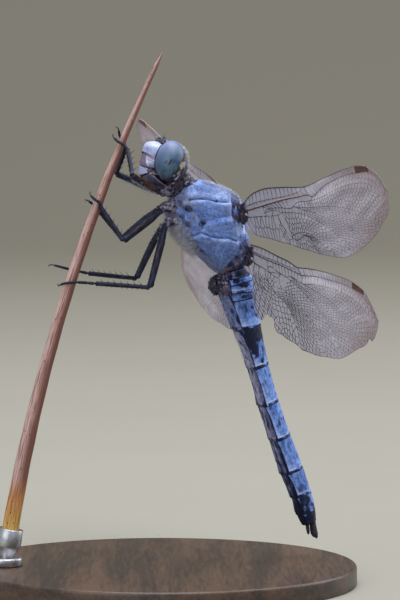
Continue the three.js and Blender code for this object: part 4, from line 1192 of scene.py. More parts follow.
def struts(starts, ends, radius):
    """Closed three-sided prisms from starts to ends, each with its own radius."""
    ring = three_sided(unit(ends - starts), [0.42, 0.65, 0.63], radius)
    verts = np.concatenate([starts[:, None] + ring, ends[:, None] + ring], 1).reshape(-1, 3)
    first = np.arange(len(starts))[:, None] * 6
    quads = np.concatenate([first + [j, (j + 1) % 3, 3 + (j + 1) % 3, 3 + j] for j in range(3)])
    tris = np.concatenate([first + [0, 2, 1], first + [3, 4, 5]])
    return {"verts": verts, "quads": quads, "tris": tris, "values": {}}


def inside(p, outline):
    """Whether points of the plane lie inside a closed outline: a ray from each crosses it an odd number of
    times."""
    odd = np.zeros(p.shape[:-1], bool)
    for a, b in zip(outline, np.roll(outline, -1, 0)):
        spans = (a[1] > p[..., 1]) != (b[1] > p[..., 1])
        with np.errstate(divide="ignore", invalid="ignore"):
            cross = a[0] + (p[..., 1] - a[1]) * (b[0] - a[0]) / (b[1] - a[1])
        odd ^= spans & (p[..., 0] < cross)
    return odd


def shortened(walls, outline):
    """Walls cut off at an outline: those wholly outside go, and an end outside moves in to the edge by twelve
    halvings of the stretch that crosses it."""
    within = inside(walls, outline)
    walls, within = walls[within.any(1)], within[within.any(1)]
    first = np.where(within[:, :1], walls[:, 0], walls[:, 1])
    step = np.where(within[:, :1], walls[:, 1], walls[:, 0]) - first
    low, high = np.zeros(len(walls)), np.ones(len(walls))
    for _ in range(12):
        middle = (low + high) / 2
        holds = inside(first + step * middle[:, None], outline)
        low, high = np.where(holds, middle, low), np.where(holds, high, middle)
    reach = np.where(within.all(1), 1, low)
    return np.stack([first, first + step * reach[:, None]], 1)


def on_wing(p, height, stance):
    """Places of the wing's plane, lifted off it by height, in the body's frame."""
    root, span, chord, up = stance
    return root + p[..., :1] * span + p[..., 1:] * chord + height[..., None] * up


def film_sheet(p, height, stance, **values):
    """The film as an open grid: rows of points out along the wing."""
    rows, columns = p.shape[:2]
    points = on_wing(p, height, stance)
    corner = np.arange(rows - 1)[:, None] * columns + np.arange(columns - 1)
    quads = np.stack([corner, corner + 1, corner + columns + 1, corner + columns], -1).reshape(-1, 4)
    return {"verts": points.reshape(-1, 3), "quads": quads, "tris": np.zeros((0, 3), int),
            "values": {name: value.reshape(rows * columns, -1) for name, value in values.items()}}


FILM_ROWS, FILM_COLUMNS = 330, 84


def wing_lines(design):
    """Every line of a wing's design as a smooth curve; one of two points only is straight."""
    lines = {}
    for key, points in design.items():
        if key not in ("fields", "stigma"):
            lines[key] = flow(points, 220) if len(points) > 2 else np.linspace(*np.array(points, float), 12)
    return lines


def wing(name, design, torn_rear=None):
    """One wing: a puckered film, its veins as tubes and struts, the dark cell near the tip, and the horny
    plates at its root."""
    rng = np.random.default_rng(len(name) * 7 + ord(name[0]))
    stance = wing_stance(name)
    lines = wing_lines(design)
    cells = [field_cells(lines, field, rng) for field in design["fields"]]
    middles = np.vstack([cell[0] for cell in cells])
    walls = np.vstack([cell[1] for cell in cells])
    if torn_rear is not None:
        lines["rear"] = flow(torn_rear, 700)
    outline = np.vstack([lines["front"], lines["rear"][::-1]])
    walls = shortened(walls, outline)

    share = np.linspace(0, 1, FILM_ROWS)
    front, rear = (np.stack([np.interp(share, np.linspace(0, 1, len(line)), line[:, k]) for k in (0, 1)], -1)
                   for line in (lines["front"], lines["rear"]))
    t = np.linspace(0, 1, FILM_COLUMNS)[None, :, None]
    p = front[:, None] * (1 - t) + rear[:, None] * t
    puff = rng.uniform(-0.035, 0.035, len(middles))
    nearest = np.empty((*p.shape[:2], 2))
    which = np.empty(p.shape[:2], int)
    for row in range(FILM_ROWS):
        away = np.linalg.norm(p[row, :, None] - middles, axis=-1)
        nearest[row] = np.sort(np.partition(away, 1, axis=1)[:, :2], axis=1)
        which[row] = away.argmin(1)
    domed = ramp(nearest[..., 1] - nearest[..., 0], 0, 0.45)
    height = wing_height(p, lines) + puff[which] * domed
    out, back = p[..., 0], p[..., 1]
    nodus = design["nodus"][0][0]
    bay = bell(line_distance(p, lines["radius"][::4] + [0, 0.42]), 0.36)
    band = ramp(out, nodus, nodus + 1.5) * (1 - 0.6 * ramp(out, nodus + 8, nodus + 13)) * bay
    # Painted sheen: pale streaks along the span stand for light caught by the film's pleats.
    streaks = ripple(np.stack([out * 0.13, t[..., 0] * 11 + 0 * out, 0 * out], -1), 1.3, 75)
    milk = 0.08 + 0.5 * ramp(out, 9, 22) + 0.8 * band + 0.42 * ramp(out, 8, 17) * streaks
    milk = (milk + rng.uniform(-0.1, 0.1, len(middles))[which]
            + 0.9 * bell(np.hypot(out - 0.7, back - 0.9), 0.35))
    # Painted light: the right wings' film is made milkier, as lit from behind.
    milk = milk + FAR_WING_LIGHT * name.endswith("right")
    margin = line_distance(p, outline[::6])
    worn = ramp(out, 20, 32) * (0.35 + 0.65 * bell(margin, 1.3)) + 0.3 * ramp(out, 8, 16)
    warm = 0.9 * bell(np.hypot(out - 0.5, back - 0.4), 0.7)
    sheet = film_sheet(p, height, stance, milk=milk, warm=warm, worn=worn)
    film = piece(name, [placed(sheet, to_world)], FILM, [name])
    solid = film.modifiers.new("thickness", "SOLIDIFY")
    solid.thickness = FILM_THICKNESS * MM
    solid.offset = 0
    veins(name, lines, walls, stance, torn_rear is not None)
    stigma(name, design, lines, stance)
    root_plates(name, stance)


FILM_THICKNESS = 0.03
# Painted light: the value below makes the right wings' film milkier and their veins paler, as lit from
# behind.
FAR_WING_LIGHT = 0.35                  # how much milkier the right wings' film is, and how much paler their veins


def veins(name, lines, walls, stance, torn):
    """The wing's veins: a tapering tube along each main vein, a strut along each wall between cells and, in a
    fore wing, a white tube before the radius as a painted glint. They grow paler towards the tip, and the
    right wings' are paler all over as painted light."""
    root, span = stance[:2]
    # Painted light: the right wings' veins are made paler, as lit from behind.
    far_light = FAR_WING_LIGHT * name.endswith("right")
    outline = np.vstack([lines["front"], lines["rear"][::-1]])
    parts = []
    for key, line in lines.items():
        if key in NOT_VEINS:
            continue
        stops = max(6, int(np.linalg.norm(np.ptp(line, axis=0)) / 0.25))
        path = line[np.linspace(0, len(line) - 1, stops).astype(int)]
        if key == "rear" and torn:
            path = path[path[:, 0] > TORN_UP_TO]
        elif key not in ("front", "rear", "nodus"):
            path = path[inside(path, outline)]
        share = np.linspace(0, 1, len(path))
        radius = VEIN_RADIUS.get(key, SMALL_VEIN) * (1 - 0.5 * share)
        part = tube(raised(path, lines, stance), radius, 6, stance[3])
        out = (part["verts"] - root) @ span
        rusty = {"front": 0.9 * (1 - ramp(out, 3, 9)) + 0.35, "nodus": 0.5 + 0 * out}.get(key, 0.25 + 0 * out)
        part["values"] = {"warm": rusty[:, None], "snow": (far_light + 0.45 * ramp(out, 9, 24))[:, None]}
        parts.append(part)
    # Painted glint: furrow is a white tube just before the radius, where light catches the fore wing.
    if name.startswith("fore"):
        furrow = cut(lines["radius"], 0.9, lines["nodus"][0, 0] - 0.3, 80) - [0, 0.17]
        part = tube(raised(furrow, lines, stance, -0.14), 0.08 * np.sin(np.linspace(0.25, 2.9, 80)), 8,
                    stance[3])
        part["values"] = {"snow": np.ones((len(part["verts"]), 1)), "warm": np.zeros((len(part["verts"]), 1))}
        parts.append(part)
    long = np.linalg.norm(walls[:, 0] - walls[:, 1], axis=1) > 0.5
    half = walls[long].mean(1)
    walls = np.vstack([walls[~long], np.stack([walls[long, 0], half], 1),
                       np.stack([half, walls[long, 1]], 1)])
    ends = raised(walls, lines, stance, -0.02)
    out = walls[:, :, 0].mean(1)
    part = struts(ends[:, 0], ends[:, 1], CELL_VEIN * (1 - 0.3 * ramp(out, 8, 24)))
    paler = far_light + 0.5 * ramp(out, 9, 22)
    part["values"] = {"snow": np.repeat(paler, 6)[:, None], "warm": np.full((len(out) * 6, 1), 0.25)}
    parts.append(part)
    piece(f"{name}_veins", [placed(part, to_world) for part in parts], VEIN)


def raised(p, lines, stance, lift=0.0):
    """Places of the wing's plane carried into the body's frame at the film's height."""
    return on_wing(p, wing_height(p, lines) + lift, stance)


def stigma(name, design, lines, stance):
    """The dark cell near the tip: a slanting four-sided pad with soft edges, a little thicker than the film.
    Rings shrink from its rim to its middle on both faces."""
    corners = np.array(design["stigma"], float)
    sides = np.concatenate([corners[k] + np.linspace(0, 1, 14, endpoint=False)[:, None]
                            * (corners[(k + 1) % 4] - corners[k]) for k in range(4)])
    middle = corners.mean(0)
    size = np.concatenate([np.linspace(0.1, 1, 9), np.linspace(1, 0.1, 9)])
    lift = np.concatenate([np.sqrt(1 - np.linspace(0.1, 1, 9) ** 4),
                           -np.sqrt(1 - np.linspace(1, 0.1, 9) ** 4)]) * 0.07
    p = middle + (sides - middle) * size[:, None, None]
    points = on_wing(p, wing_height(p, lines) + lift[:, None], stance)
    worn = np.broadcast_to(ramp(size, 0.7, 1.0)[:, None], p.shape[:2])
    piece(f"{name}_stigma", [placed(skin(points, worn=worn), to_world)], STIGMA)


# The horny plates at a wing's root in the wing's own directions: place, size, turn, how brown and how pale.
ROOT_PLATES = [
    ((0.5, -0.15, 0.0), (1.0, 0.24, 0.22), -8, 0.4, 0.0), ((0.1, 0.42, 0.05), (0.85, 0.36, 0.3), 6, 0.1, 0.0),
    ((-0.15, 1.1, 0.0), (0.75, 0.38, 0.3), 8, 0.15, 0.0),
    ((-0.45, 0.3, -0.1), (0.6, 0.9, 0.4), 10, 0.15, 0.15),
    ((-0.4, 0.95, -0.2), (0.5, 0.85, 0.36), -15, 0.2, 0.1),
    ((-0.05, 0.75, -0.16), (0.22, 0.28, 0.2), 0, 1.0, 0.0),
    ((0.05, 1.25, -0.05), (0.26, 0.15, 0.14), 20, 1.0, 0.0),
    # Painted highlight: this thin white plate stands for a glint on the root.
    ((0.55, 0.8, -0.02), (0.3, 0.17, 0.07), 30, 0.0, 1.2),
    ((-0.7, 0.5, -0.35), (0.3, 0.6, 0.26), 25, 0.2, 0.45),
    ((-0.45, -0.35, -0.1), (0.42, 0.35, 0.22), 0, 0.1, 0.3),
    ((-0.15, 1.95, -0.1), (0.95, 0.3, 0.07), 42, 0.0, 1.3),
]


def root_plates(name, stance):
    """Overlapping uneven lumps where the wing is hinged to the back, among them a thin white one that is a
    painted highlight, and a white flap of membrane behind.
    """
    parts = []
    for number, (place, size, degrees, brown, pale) in enumerate(ROOT_PLATES):
        _, lump = ball(np.zeros(3), size, rings=26, sides=34)
        lump = roughened(lump, 0.3 * min(size) * ripple(lump, 0.6, 90 + number))
        lump = lump @ turn(2, degrees).T + place
        points = on_wing(lump[..., :2], lump[..., 2], stance)
        parts.append(placed(skin(points, warm=np.full(lump.shape[:2], brown),
                                 snow=np.full(lump.shape[:2], pale)),
                            to_world))
    piece(f"{name}_root", parts, SHELL)


# ---- Head ----------------------------------------------------------------------------------------

EYE_CENTRE, EYE_SIZE, EYE_LEAN = np.array([0, 1.88, 0.1]), np.array([1.45, 1.7, 2.1]), 24
# Painted pseudopupils, the dark spots that eyes show only towards the viewer, in the head's frame on the left
# eye:
# place, half length up, half width and strength.
EYE_SPOTS = [
    ((0.43, 3.57, -0.07), 0.4, 0.115, 1.0), ((0.79, 3.36, -0.18), 0.3, 0.07, 0.8),
    ((0.08, 3.63, 0.04), 0.22, 0.065, 0.8), ((0.95, 2.83, -1.14), 0.13, 0.05, 0.6),
    ((0.74, 3.16, -1.06), 0.14, 0.06, 0.85), ((0.5, 3.36, -1.03), 0.17, 0.06, 0.75),
    ((0.25, 3.51, -0.89), 0.1, 0.06, 0.7), ((0.61, 2.85, -1.53), 0.12, 0.05, 0.4),
    ((1.02, 2.56, -1.23), 0.1, 0.04, 0.4), ((0.62, 3.38, -0.6), 0.1, 0.04, 0.3),
]
# The eye's colours end and its dark rear band begins here: height and place along the head.
EYE_BAND = [(-2.0, -0.15), (-1.17, -0.31), (-0.68, -0.45), (-0.22, -0.53), (0.2, -0.68), (0.59, -0.72),
            (1.15, -0.86), (2.2, -1.1)]
# Cream patches of that band: place, half width along the surface and half height.
CREAM_PATCHES = [((-1.0, 3.15, -0.03), 0.5, 0.43), ((-0.85, 3.16, -0.86), 0.2, 0.3),
                 ((-0.5, 3.25, -1.3), 0.14, 0.16)]


def mirrored(points, sign):
    """The points with left and right changed over where sign is -1."""
    return points * [1, sign, 1]


def head_to_world(points):
    """From the head's frame to the model's."""
    return to_world(head_to_body(points))


def eyes():
    """Two big leaning ellipsoids, each flattened where it meets the other at the midline. crown runs from the
    bottom to the top, the dark value marks the painted pseudopupils, warm the band behind and the pale value
    its cream patches."""
    for side, sign in (("left", 1), ("right", -1)):
        round_, points = ball(EYE_CENTRE, EYE_SIZE, EYE_LEAN, 150, 200)
        worn = np.zeros(points.shape[:2])
        for place, tall, wide, strength in EYE_SPOTS:
            off = points - place
            slant = np.hypot(off[..., 0] + 0.33 * off[..., 2], off[..., 1] * 0.6) / wide
            worn = np.maximum(worn, strength * (1 - ramp(np.hypot(slant, off[..., 2] / tall), 0.5, 1.3)))
        # Partly painted light from above: crown sets the eye's colour from dark below to pale lilac above and
        # in front.
        crown = 0.5 + 0.42 * round_[..., 2] + 0.26 * round_[..., 0]
        heights, limits = np.array(EYE_BAND).T
        behind = np.interp(points[..., 2], heights, limits) - points[..., 0]
        snow = np.zeros(points.shape[:2])
        for place, wide, tall in CREAM_PATCHES:
            off = points - place
            snow = np.maximum(snow, bell(np.hypot(np.hypot(off[..., 0], off[..., 1]) / wide,
                                                  off[..., 2] / tall), 1))
        points[..., 1] = np.maximum(points[..., 1], 0.02)
        part = skin(mirrored(points, sign), crown=crown, worn=worn, warm=ramp(behind, -0.04, 0.1), snow=snow)
        piece(f"eye_{side}", [placed(part, head_to_world)], EYE, [f"eye_{side}"])


def pod(centre, size, low_power, high_power):
    """A swollen pod: its rings shrink towards the top and the bottom as (1 - t^power)^(1/power), squarer for
    a higher power, and it is cut flat behind the face."""
    t = -np.cos(np.linspace(0.02, np.pi - 0.02, FACE_RINGS))[:, None]
    power = np.where(t < 0, low_power, high_power)
    reach = (1 - np.abs(t) ** power) ** (1 / power)
    turns = np.arange(FACE_SIDES) * TAU / FACE_SIDES
    points = np.stack([reach * np.cos(turns), reach * np.sin(turns), t + 0 * turns], -1) * size + centre
    points[..., 0] = np.maximum(points[..., 0], FACE_BACK)
    return points, np.abs(points[..., 1])


# The labium's upper edge from the side: place along the head and height.
LABIUM_EDGE = [(-1.8, -2.3), (-0.2, -2.28), (0.43, -2.09), (0.9, -1.83), (1.3, -1.72), (1.6, -1.84),
               (1.85, -2.2)]
MANDIBLE_LUMPS = [((1.15, 1.0, -1.42), (0.56, 0.44, 0.5)), ((0.78, 1.28, -1.3), (0.4, 0.34, 0.5))]
# The frons's lower edge from the middle outwards: distance across and height.
FRONS_EDGE = [(0, 0.18), (0.92, 0.07), (1.34, -0.07), (1.54, -0.31), (1.7, -0.45)]
# The white facet at each side of the clypeus: distance across and height of its corners.
WHITE_FACET = [(0.95, -0.16), (1.6, -0.46), (1.19, -1.0)]


FACE_BACK = 0.35                 # the face's pods are cut flat here, along the head
FACE_RINGS, FACE_SIDES = 90, 120


def within_sides(p, corners, soft):
    """1 inside a shape with straight sides whose corners run clockwise, falling to 0 just outside them."""
    mask = 1.0
    for a, b in zip(corners, corners[1:] + corners[:1]):
        side = np.subtract(b, a) / np.linalg.norm(np.subtract(b, a))
        mask = mask * ramp((p[..., 0] - a[0]) * -side[1] + (p[..., 1] - a[1]) * side[0], soft, -soft)
    return mask


def beside_eye(points):
    """How far points of the head lie outside the eyes' ellipsoids, as a share of the eye's size."""
    off = np.stack([points[..., 0], np.abs(points[..., 1]), points[..., 2]], -1) - EYE_CENTRE
    return np.linalg.norm(off @ turn(0, EYE_LEAN) / EYE_SIZE, axis=-1) - 1


def face():
    """Frons, clypeus and labrum, each tucked under the one above. The frons has a shallow furrow down its
    middle and an edge that drops towards the eyes; the clypeus has at each side a white three-sided facet
    between raised ridges in a pinkish front; the labrum is a rounded flap."""
    points, across = pod((1.38, 0, 0.6), (1.13, 1.58, 1.02), 4.5, 2.0)
    low = np.interp(across, *np.array(FRONS_EDGE).T)
    points[..., 2] = np.maximum(points[..., 2], low)
    up = points[..., 2]
    edge = up - low
    height = -0.12 * bell(points[..., 1], 0.24) * ramp(up, 0.4, 1.2) + 0.03 * ripple(points, 0.7, 61)
    height += 0.05 * bell(edge - 0.14, 0.1) - 0.09 * bell(edge, 0.06)
    # Painted shade: the frons darkens along its lower edge, beside the eyes and behind its top, and turns
    # lilac near its lower edge.
    worn = 1.2 * (1 - ramp(edge, 0.02, 0.09)) + 1.2 * (1 - ramp(beside_eye(points), 0.04, 0.08))
    worn = worn + 0.9 * ramp(-points[..., 0], -0.85, -0.6) * ramp(up, 0.8, 1.2)
    warm = 0.6 * (1 - ramp(edge, 0.1, 0.5)) * ramp(across, 0.4, 1.1)
    snow = 0.5 * ramp(up, 0.3, 1.1)
    frons = skin(roughened(points, height), worn=worn, warm=warm, snow=snow)
    piece("frons", [placed(frons, head_to_world)], FACE, ["frons"])

    points, across = pod((1.42, 0, -0.45), (0.96, 1.56, 0.82), 3.2, 3.5)
    up = points[..., 2]
    flat = np.stack([across, up], -1)
    facet = within_sides(flat, WHITE_FACET, 0.03)
    ridges = bell(line_distance(flat, [WHITE_FACET[2], WHITE_FACET[0], WHITE_FACET[1]]), 0.06)
    lower = bell(line_distance(flat, [WHITE_FACET[2], WHITE_FACET[1]]), 0.05)
    beyond = within_sides(flat, [WHITE_FACET[1], (1.7, -1.0), WHITE_FACET[2]], 0.06)
    height = 0.07 * ridges - 0.05 * facet - 0.06 * lower + 0.03 * ripple(points, 0.5, 63)
    # Painted shade: the clypeus darkens in the crease under each facet, along its lower edge, under the frons
    # at its outer top and beside the eyes.
    worn = (0.3 * lower + 1.2 * (1 - ramp(up, -1.2, -1.12))
            + 0.9 * ramp(up, -0.02, 0.1) * ramp(across, 0.8, 1.0))
    worn = worn + 1.2 * (1 - ramp(beside_eye(points), 0.02, 0.05))
    warm = 0.75 - 0.7 * np.maximum(facet, ridges) - 0.45 * beyond
    snow = 1.0 * np.maximum(facet, ridges)
    clypeus = skin(roughened(points, height), worn=worn, warm=warm, snow=snow)
    piece("clypeus", [placed(clypeus, head_to_world)], FACE, ["clypeus"])

    points, across = pod((1.2, 0, -1.58), (1.09, 1.16, 0.68), 2.4, 3.0)
    low = -2.1 + 0.38 * (across / 1.12) ** 2.5
    points[..., 2] = np.maximum(points[..., 2], low)
    up = points[..., 2]
    edge = up - low
    height = 0.03 * ripple(points, 0.8, 62) + 0.04 * bell(edge - 0.1, 0.1)
    # Painted shade: the labrum darkens along its lower edge, under the clypeus and at its outer sides.
    worn = 1.1 * (1 - ramp(edge, 0.01, 0.06)) + 1.1 * bell(up + 1.2, 0.07) + 0.9 * ramp(across, 1.02, 1.12)
    labrum = skin(roughened(points, height), worn=worn, warm=0.15 + 0 * up, snow=0.25 + 0 * up)
    piece("labrum", [placed(labrum, head_to_world)], FACE, ["labrum"])


def mouth():
    """The labium's two swollen side lobes under an arched edge, with a furrow between them, a smaller middle
    lobe behind and a pale rim; and the mottled grey brown mandibles at the corners of the mouth."""
    _, points = ball((0.12, 0, -2.0), (1.78, 1.74, 0.86), 0, 90, 120)
    places, edges = np.array(LABIUM_EDGE).T
    edge = np.interp(points[..., 0], places, edges)
    under = edge - points[..., 2]
    points[..., 2] = np.minimum(points[..., 2], edge)
    across = np.abs(points[..., 1])
    swell = (-0.16 * bell(points[..., 1], 0.12)
             + 0.08 * bell(np.hypot(points[..., 0] - 0.7, across - 0.8), 0.6))
    swell -= 0.12 * bell(points[..., 0] + 0.45, 0.12) * ramp(-points[..., 2], 2.3, 2.5)
    warm = 0.9 * bell(under - 0.09, 0.05) + 0.6 * bell(points[..., 1], 0.08)
    labium = skin(roughened(points, swell), warm=warm, worn=1 - ramp(under, 0.0, 0.05))
    piece("labium", [placed(labium, head_to_world)], LABIUM, ["labium"])

    parts = []
    for sign in (1, -1):
        for place, size in MANDIBLE_LUMPS:
            _, lump = ball(place, size, 12, 40, 50)
            lump = roughened(lump, 0.05 * ripple(lump, 0.4, 64))
            brown = 0.45 + 0.3 * ripple(lump, 0.4, 66)
            parts.append(placed(skin(mirrored(lump, sign), warm=brown, snow=0.9 * brown), head_to_world))
    piece("mandibles", parts, SHELL)


def crown():
    """The vertex, a rough two-humped bump with three bead-like simple eyes, and the two feelers: two thick
    joints and a bristle each."""
    _, bump = ball((0.9, 0, 1.52), (0.54, 0.78, 0.56), 0, 50, 60)
    hump = 0.12 * bell(np.hypot(np.abs(bump[..., 1]) - 0.34, bump[..., 2] - 2.06), 0.25)
    bump = roughened(bump, hump + 0.06 * ripple(bump, 0.35, 65))
    lilac = 0.2 + 0.3 * ripple(bump, 0.3, 69)
    parts = [placed(skin(bump, warm=0.1 + 0.3 * ripple(bump, 0.5, 68), snow=lilac), head_to_world)]
    for place in ((1.36, 0, 1.65), (0.84, 0.66, 1.65), (0.84, -0.66, 1.65)):
        _, bead = ball(place, (0.14, 0.14, 0.14), 0, 18, 24)
        parts.append(placed(skin(bead, warm=np.full(bead.shape[:2], 0.8)), head_to_world))
    piece("vertex", parts, SHELL, ["vertex"])
    feelers = {"antenna_left": ((1.0, 0.5, 1.4), (1.2, 1.5, 2.6)),
               "antenna_right": ((1.05, -0.5, 1.35), (1.95, -1.1, 2.5))}
    profile = [(0, 0.1), (0.08, 0.12), (0.14, 0.07), (0.17, 0.085), (0.25, 0.06), (0.28, 0.03), (1, 0.012)]
    for name, (start, end) in feelers.items():
        feeler = limb(start, end, profile, 14, (0, 0, 1), 60, 0.12)
        piece(name, [placed(feeler, head_to_world)], SHELL, [name])


HEAD_SHELL_CENTRE, HEAD_SHELL_SIZE = (-0.45, 0, -0.25), (1.9, 2.93, 2.08)


def shell_rim(points):
    """How far out points lie on the shell behind the eyes: 0 at its middle and 1 at its rim."""
    up = (points[..., 2] - HEAD_SHELL_CENTRE[2]) / HEAD_SHELL_SIZE[2]
    return np.hypot(points[..., 1] / HEAD_SHELL_SIZE[1], up)


def back_of_head():
    """The shell behind the eyes: a low dome, dark with pale and brown patches round its rim."""
    _, points = ball(HEAD_SHELL_CENTRE, HEAD_SHELL_SIZE, 0, FACE_RINGS, FACE_SIDES)
    points[..., 0] = np.minimum(points[..., 0], 0.42)
    points[..., 2] = np.maximum(points[..., 2], -2.12)
    normal = outward(points)
    rim = shell_rim(points)
    height = 0.06 * bell(rim - 0.86, 0.06) - 0.08 * bell(rim - 0.7, 0.06) + 0.04 * ripple(points, 0.9, 66)
    patch = ripple(points, 1.4, 67)
    warm = ramp(rim, 0.6, 0.8) * ramp(patch, 0.0, 0.3)
    snow = ramp(rim, 0.78, 0.9) * ramp(-patch, 0.2, 0.5) * 0.9
    points = points + normal * height[..., None]
    piece("head_shell", [placed(skin(points, warm=warm, snow=snow), head_to_world)], SHELL,
          ["head_shell"])
    return points, normal


# Lumps of the collar between head and thorax, in the body's frame: place, size, how brown and how pale.
COLLAR_LUMPS = [
    ((5.12, 0.0, -2.75), (1.25, 1.5, 1.62), 0.25, 0.1), ((4.95, 0.0, -1.2), (0.42, 1.3, 0.5), 0.2, 0.25),
    ((5.62, 0.0, -1.75), (0.4, 1.25, 0.55), 0.1, 0.2), ((5.35, 1.2, -2.5), (0.6, 0.42, 0.75), 0.35, 0.2),
    ((5.35, -1.2, -2.5), (0.6, 0.42, 0.75), 0.35, 0.2), ((5.8, 1.15, -3.1), (0.42, 0.3, 0.4), 0.0, 0.95),
    ((5.8, -1.15, -3.1), (0.42, 0.3, 0.4), 0.0, 0.95), ((4.9, 1.15, -1.55), (0.22, 0.42, 0.34), 0.35, 0.6),
    ((4.9, -1.15, -1.55), (0.22, 0.42, 0.34), 0.35, 0.6), ((5.7, 0.0, -3.6), (0.7, 1.05, 0.6), 0.3, 0.3),
    ((5.2, 1.45, -1.95), (0.3, 0.3, 0.36), 0.1, 0.3), ((5.2, -1.45, -1.95), (0.3, 0.3, 0.36), 0.1, 0.3),
]


def collar():
    """The small first ring of the thorax: overlapping uneven lobes mottled with lilac and brown, the hind one
    raised into a rim."""
    parts = []
    for number, (place, size, brown, pale) in enumerate(COLLAR_LUMPS):
        _, lump = ball(place, size, 0, 60, 80)
        rough = 0.09 * ripple(lump, 0.6, 30 + number) + 0.05 * ripple(lump, 0.25, 50 + number)
        lump = roughened(lump, rough)
        parts.append(placed(skin(lump, warm=brown + 0.35 * ripple(lump, 0.7, 31),
                                 snow=pale + 0.55 * ripple(lump, 0.45, 32) - 0.1), to_world))
    piece("prothorax", parts, SHELL, ["prothorax"])


# ---- Stem and legs -------------------------------------------------------------------------------

STEM_DEPTH = -1.63
STEM_BEND = np.array([(0.27, 53.78), (-7.81, 37.02), (-13.36, 19.01), (-15.88, 0.56)])
STEM_CUT = 0.93
STEM_RADII = [(0, 0.2), (0.1, 0.3), (0.3, 0.48), (0.65, 0.67), (1, 0.9)]
STEM_POINT = 0.05
FOOT_YELLOW = (14.5, 3.0)        # the stem turns from red to yellow between these heights


def stem_at(share):
    """The cubic curve of the stem at shares of it, its direction, and the direction towards the insect."""
    t = np.asarray(share, float)[..., None]
    a, b, c, d = STEM_BEND
    flat = (1 - t)**3 * a + 3 * (1 - t)**2 * t * b + 3 * (1 - t) * t**2 * c + t**3 * d
    along = unit(3 * (1 - t)**2 * (b - a) + 6 * (1 - t) * t * (c - b) + 3 * t**2 * (d - c))
    at = np.stack([flat[..., 0], np.full(flat.shape[:-1], STEM_DEPTH), flat[..., 1]], -1)
    ahead = np.stack([along[..., 0], 0 * along[..., 0], along[..., 1]], -1)
    across = np.stack([-along[..., 1], 0 * along[..., 0], along[..., 0]], -1)
    return at, ahead, across * np.sign(across[..., :1])


def stem_radius(share):
    """The stem's radius at shares of its curve."""
    places, radii = np.array(STEM_RADII).T
    return np.interp(share, places, radii)


def stem():
    """The rush: a round section along the curve with fourteen fine ridges, an uneven swell, a sharp dry tip
    and a cut end."""
    share = np.concatenate([np.linspace(0, 0.03, 24)[:-1], np.linspace(0.03, STEM_CUT, 420)])
    at, _, across = stem_at(share)
    sides = 84
    turns = np.arange(sides) * TAU / sides
    radius = stem_radius(share) * (STEM_POINT / 0.2 + (1 - STEM_POINT / 0.2) * ramp(share, -0.004, 0.03))
    ridge = 0.022 * np.cos(14 * turns + 2.5 * np.sin(share[:, None] * 9))
    swell = radius[:, None] * (1 + ridge + 0.02 * np.sin(share[:, None] * 70 + turns))
    points = at[:, None] + across[:, None] * (np.cos(turns) * swell)[..., None]
    points = points - np.array([0, 1, 0]) * (np.sin(turns) * swell)[..., None]
    step = np.linalg.norm(np.diff(at, axis=0), axis=1)
    along = np.concatenate([[0], np.cumsum(step)])[:, None] + 0 * swell
    lay = np.stack([np.cos(turns) * swell, np.sin(turns) * swell, along], -1)
    # Painted light: flank makes the stem's side facing the light pale tan and its other side darker red.
    flank = 0.5 - 0.5 * np.cos(turns) + 0 * swell
    foot = 1 - ramp(points[..., 2], FOOT_YELLOW[1], FOOT_YELLOW[0])
    piece("stem", [skin(points, lay=lay, flank=flank, foot=foot)], RUSH, ["stem"])


# Hip and knee in the body's frame. The foot is told on the stem: share of the curve at the ankle and at
# the claws, the ankle's reach out of the axis and the claws' reach past it.
LEGS = {
    "leg_fore_left": {"hip": (5.1, 1.2, -4.9), "knee": (7.9, 3.3, -7.75), "side": 1,
                      "ankle": 0.183, "out": 0.74, "claw": 0.174, "past": 0.92},
    "leg_fore_right": {"hip": (5.0, -1.2, -4.75), "knee": (7.75, -2.4, -7.85), "side": -1,
                       "ankle": 0.189, "out": 0.56, "claw": 0.158, "past": 0.8},
    "leg_mid_left": {"hip": (3.35, 1.3, -5.2), "knee": (1.72, 2.25, -10.2), "side": 1,
                     "ankle": 0.297, "out": 0.3, "claw": 0.285, "past": 0.95},
    "leg_mid_right": {"hip": (3.15, -1.3, -4.95), "knee": (1.3, -2.1, -9.2), "side": -1,
                      "ankle": 0.306, "out": 0.35, "claw": 0.296, "past": 0.95},
    "leg_hind_left": {"hip": (1.95, 1.3, -5.2), "knee": (-3.42, 3.42, -9.2), "side": 1,
                      "ankle": 0.432, "out": 2.4, "claw": 0.455, "past": 0.95},
    "leg_hind_right": {"hip": (1.3, -1.3, -5.15), "knee": (-3.05, -2.1, -8.9), "side": -1,
                       "ankle": 0.42, "out": 1.41, "claw": 0.425, "past": 2.2},
}
COXA_PROFILE = [(0, 0.3), (0.15, 0.55), (0.55, 0.56), (0.8, 0.42), (0.93, 0.4), (1, 0.2)]
FEMUR_PROFILE = [(0, 0.14), (0.02, 0.26), (0.07, 0.3), (0.1, 0.26), (0.3, 0.37), (0.72, 0.34), (0.9, 0.31),
                 (0.96, 0.34), (0.99, 0.26), (1, 0.1)]
TIBIA_PROFILE = [(0, 0.1), (0.015, 0.26), (0.05, 0.25), (0.1, 0.2), (0.6, 0.225), (0.93, 0.22),
                 (0.98, 0.25), (1, 0.12)]
FOOT_GAP = 0.03
FOOT_RADIUS = 0.16
SPINE_INSET = 0.08               # the share of a limb at each end that has no spines


def foot_path(leg):
    """The foot's path in the body's frame: in past the ankle, over the stem on the leg's own side, and
    hooked beyond it. Each stop is a share of the way, a reach and how far round the side it keeps."""
    side, out = leg["side"], leg["out"]
    stops = np.array([(0, out, 0.9), (0.4, 0.45 * min(out, 1), 1), (0.7, -0.45, 1), (1, -leg["past"], 0.35)])
    share = leg["ankle"] + (leg["claw"] - leg["ankle"]) * stops[:, 0]
    at, _, across = stem_at(share)
    clear = stem_radius(share) + FOOT_RADIUS + FOOT_GAP
    near = np.array([0, -1, 0])
    path = at + across * stops[:, 1:2] + near * (side * stops[:, 2] * clear)[:, None]
    return flow((path - BODY_PLACE) @ BODY_TURN, 60)


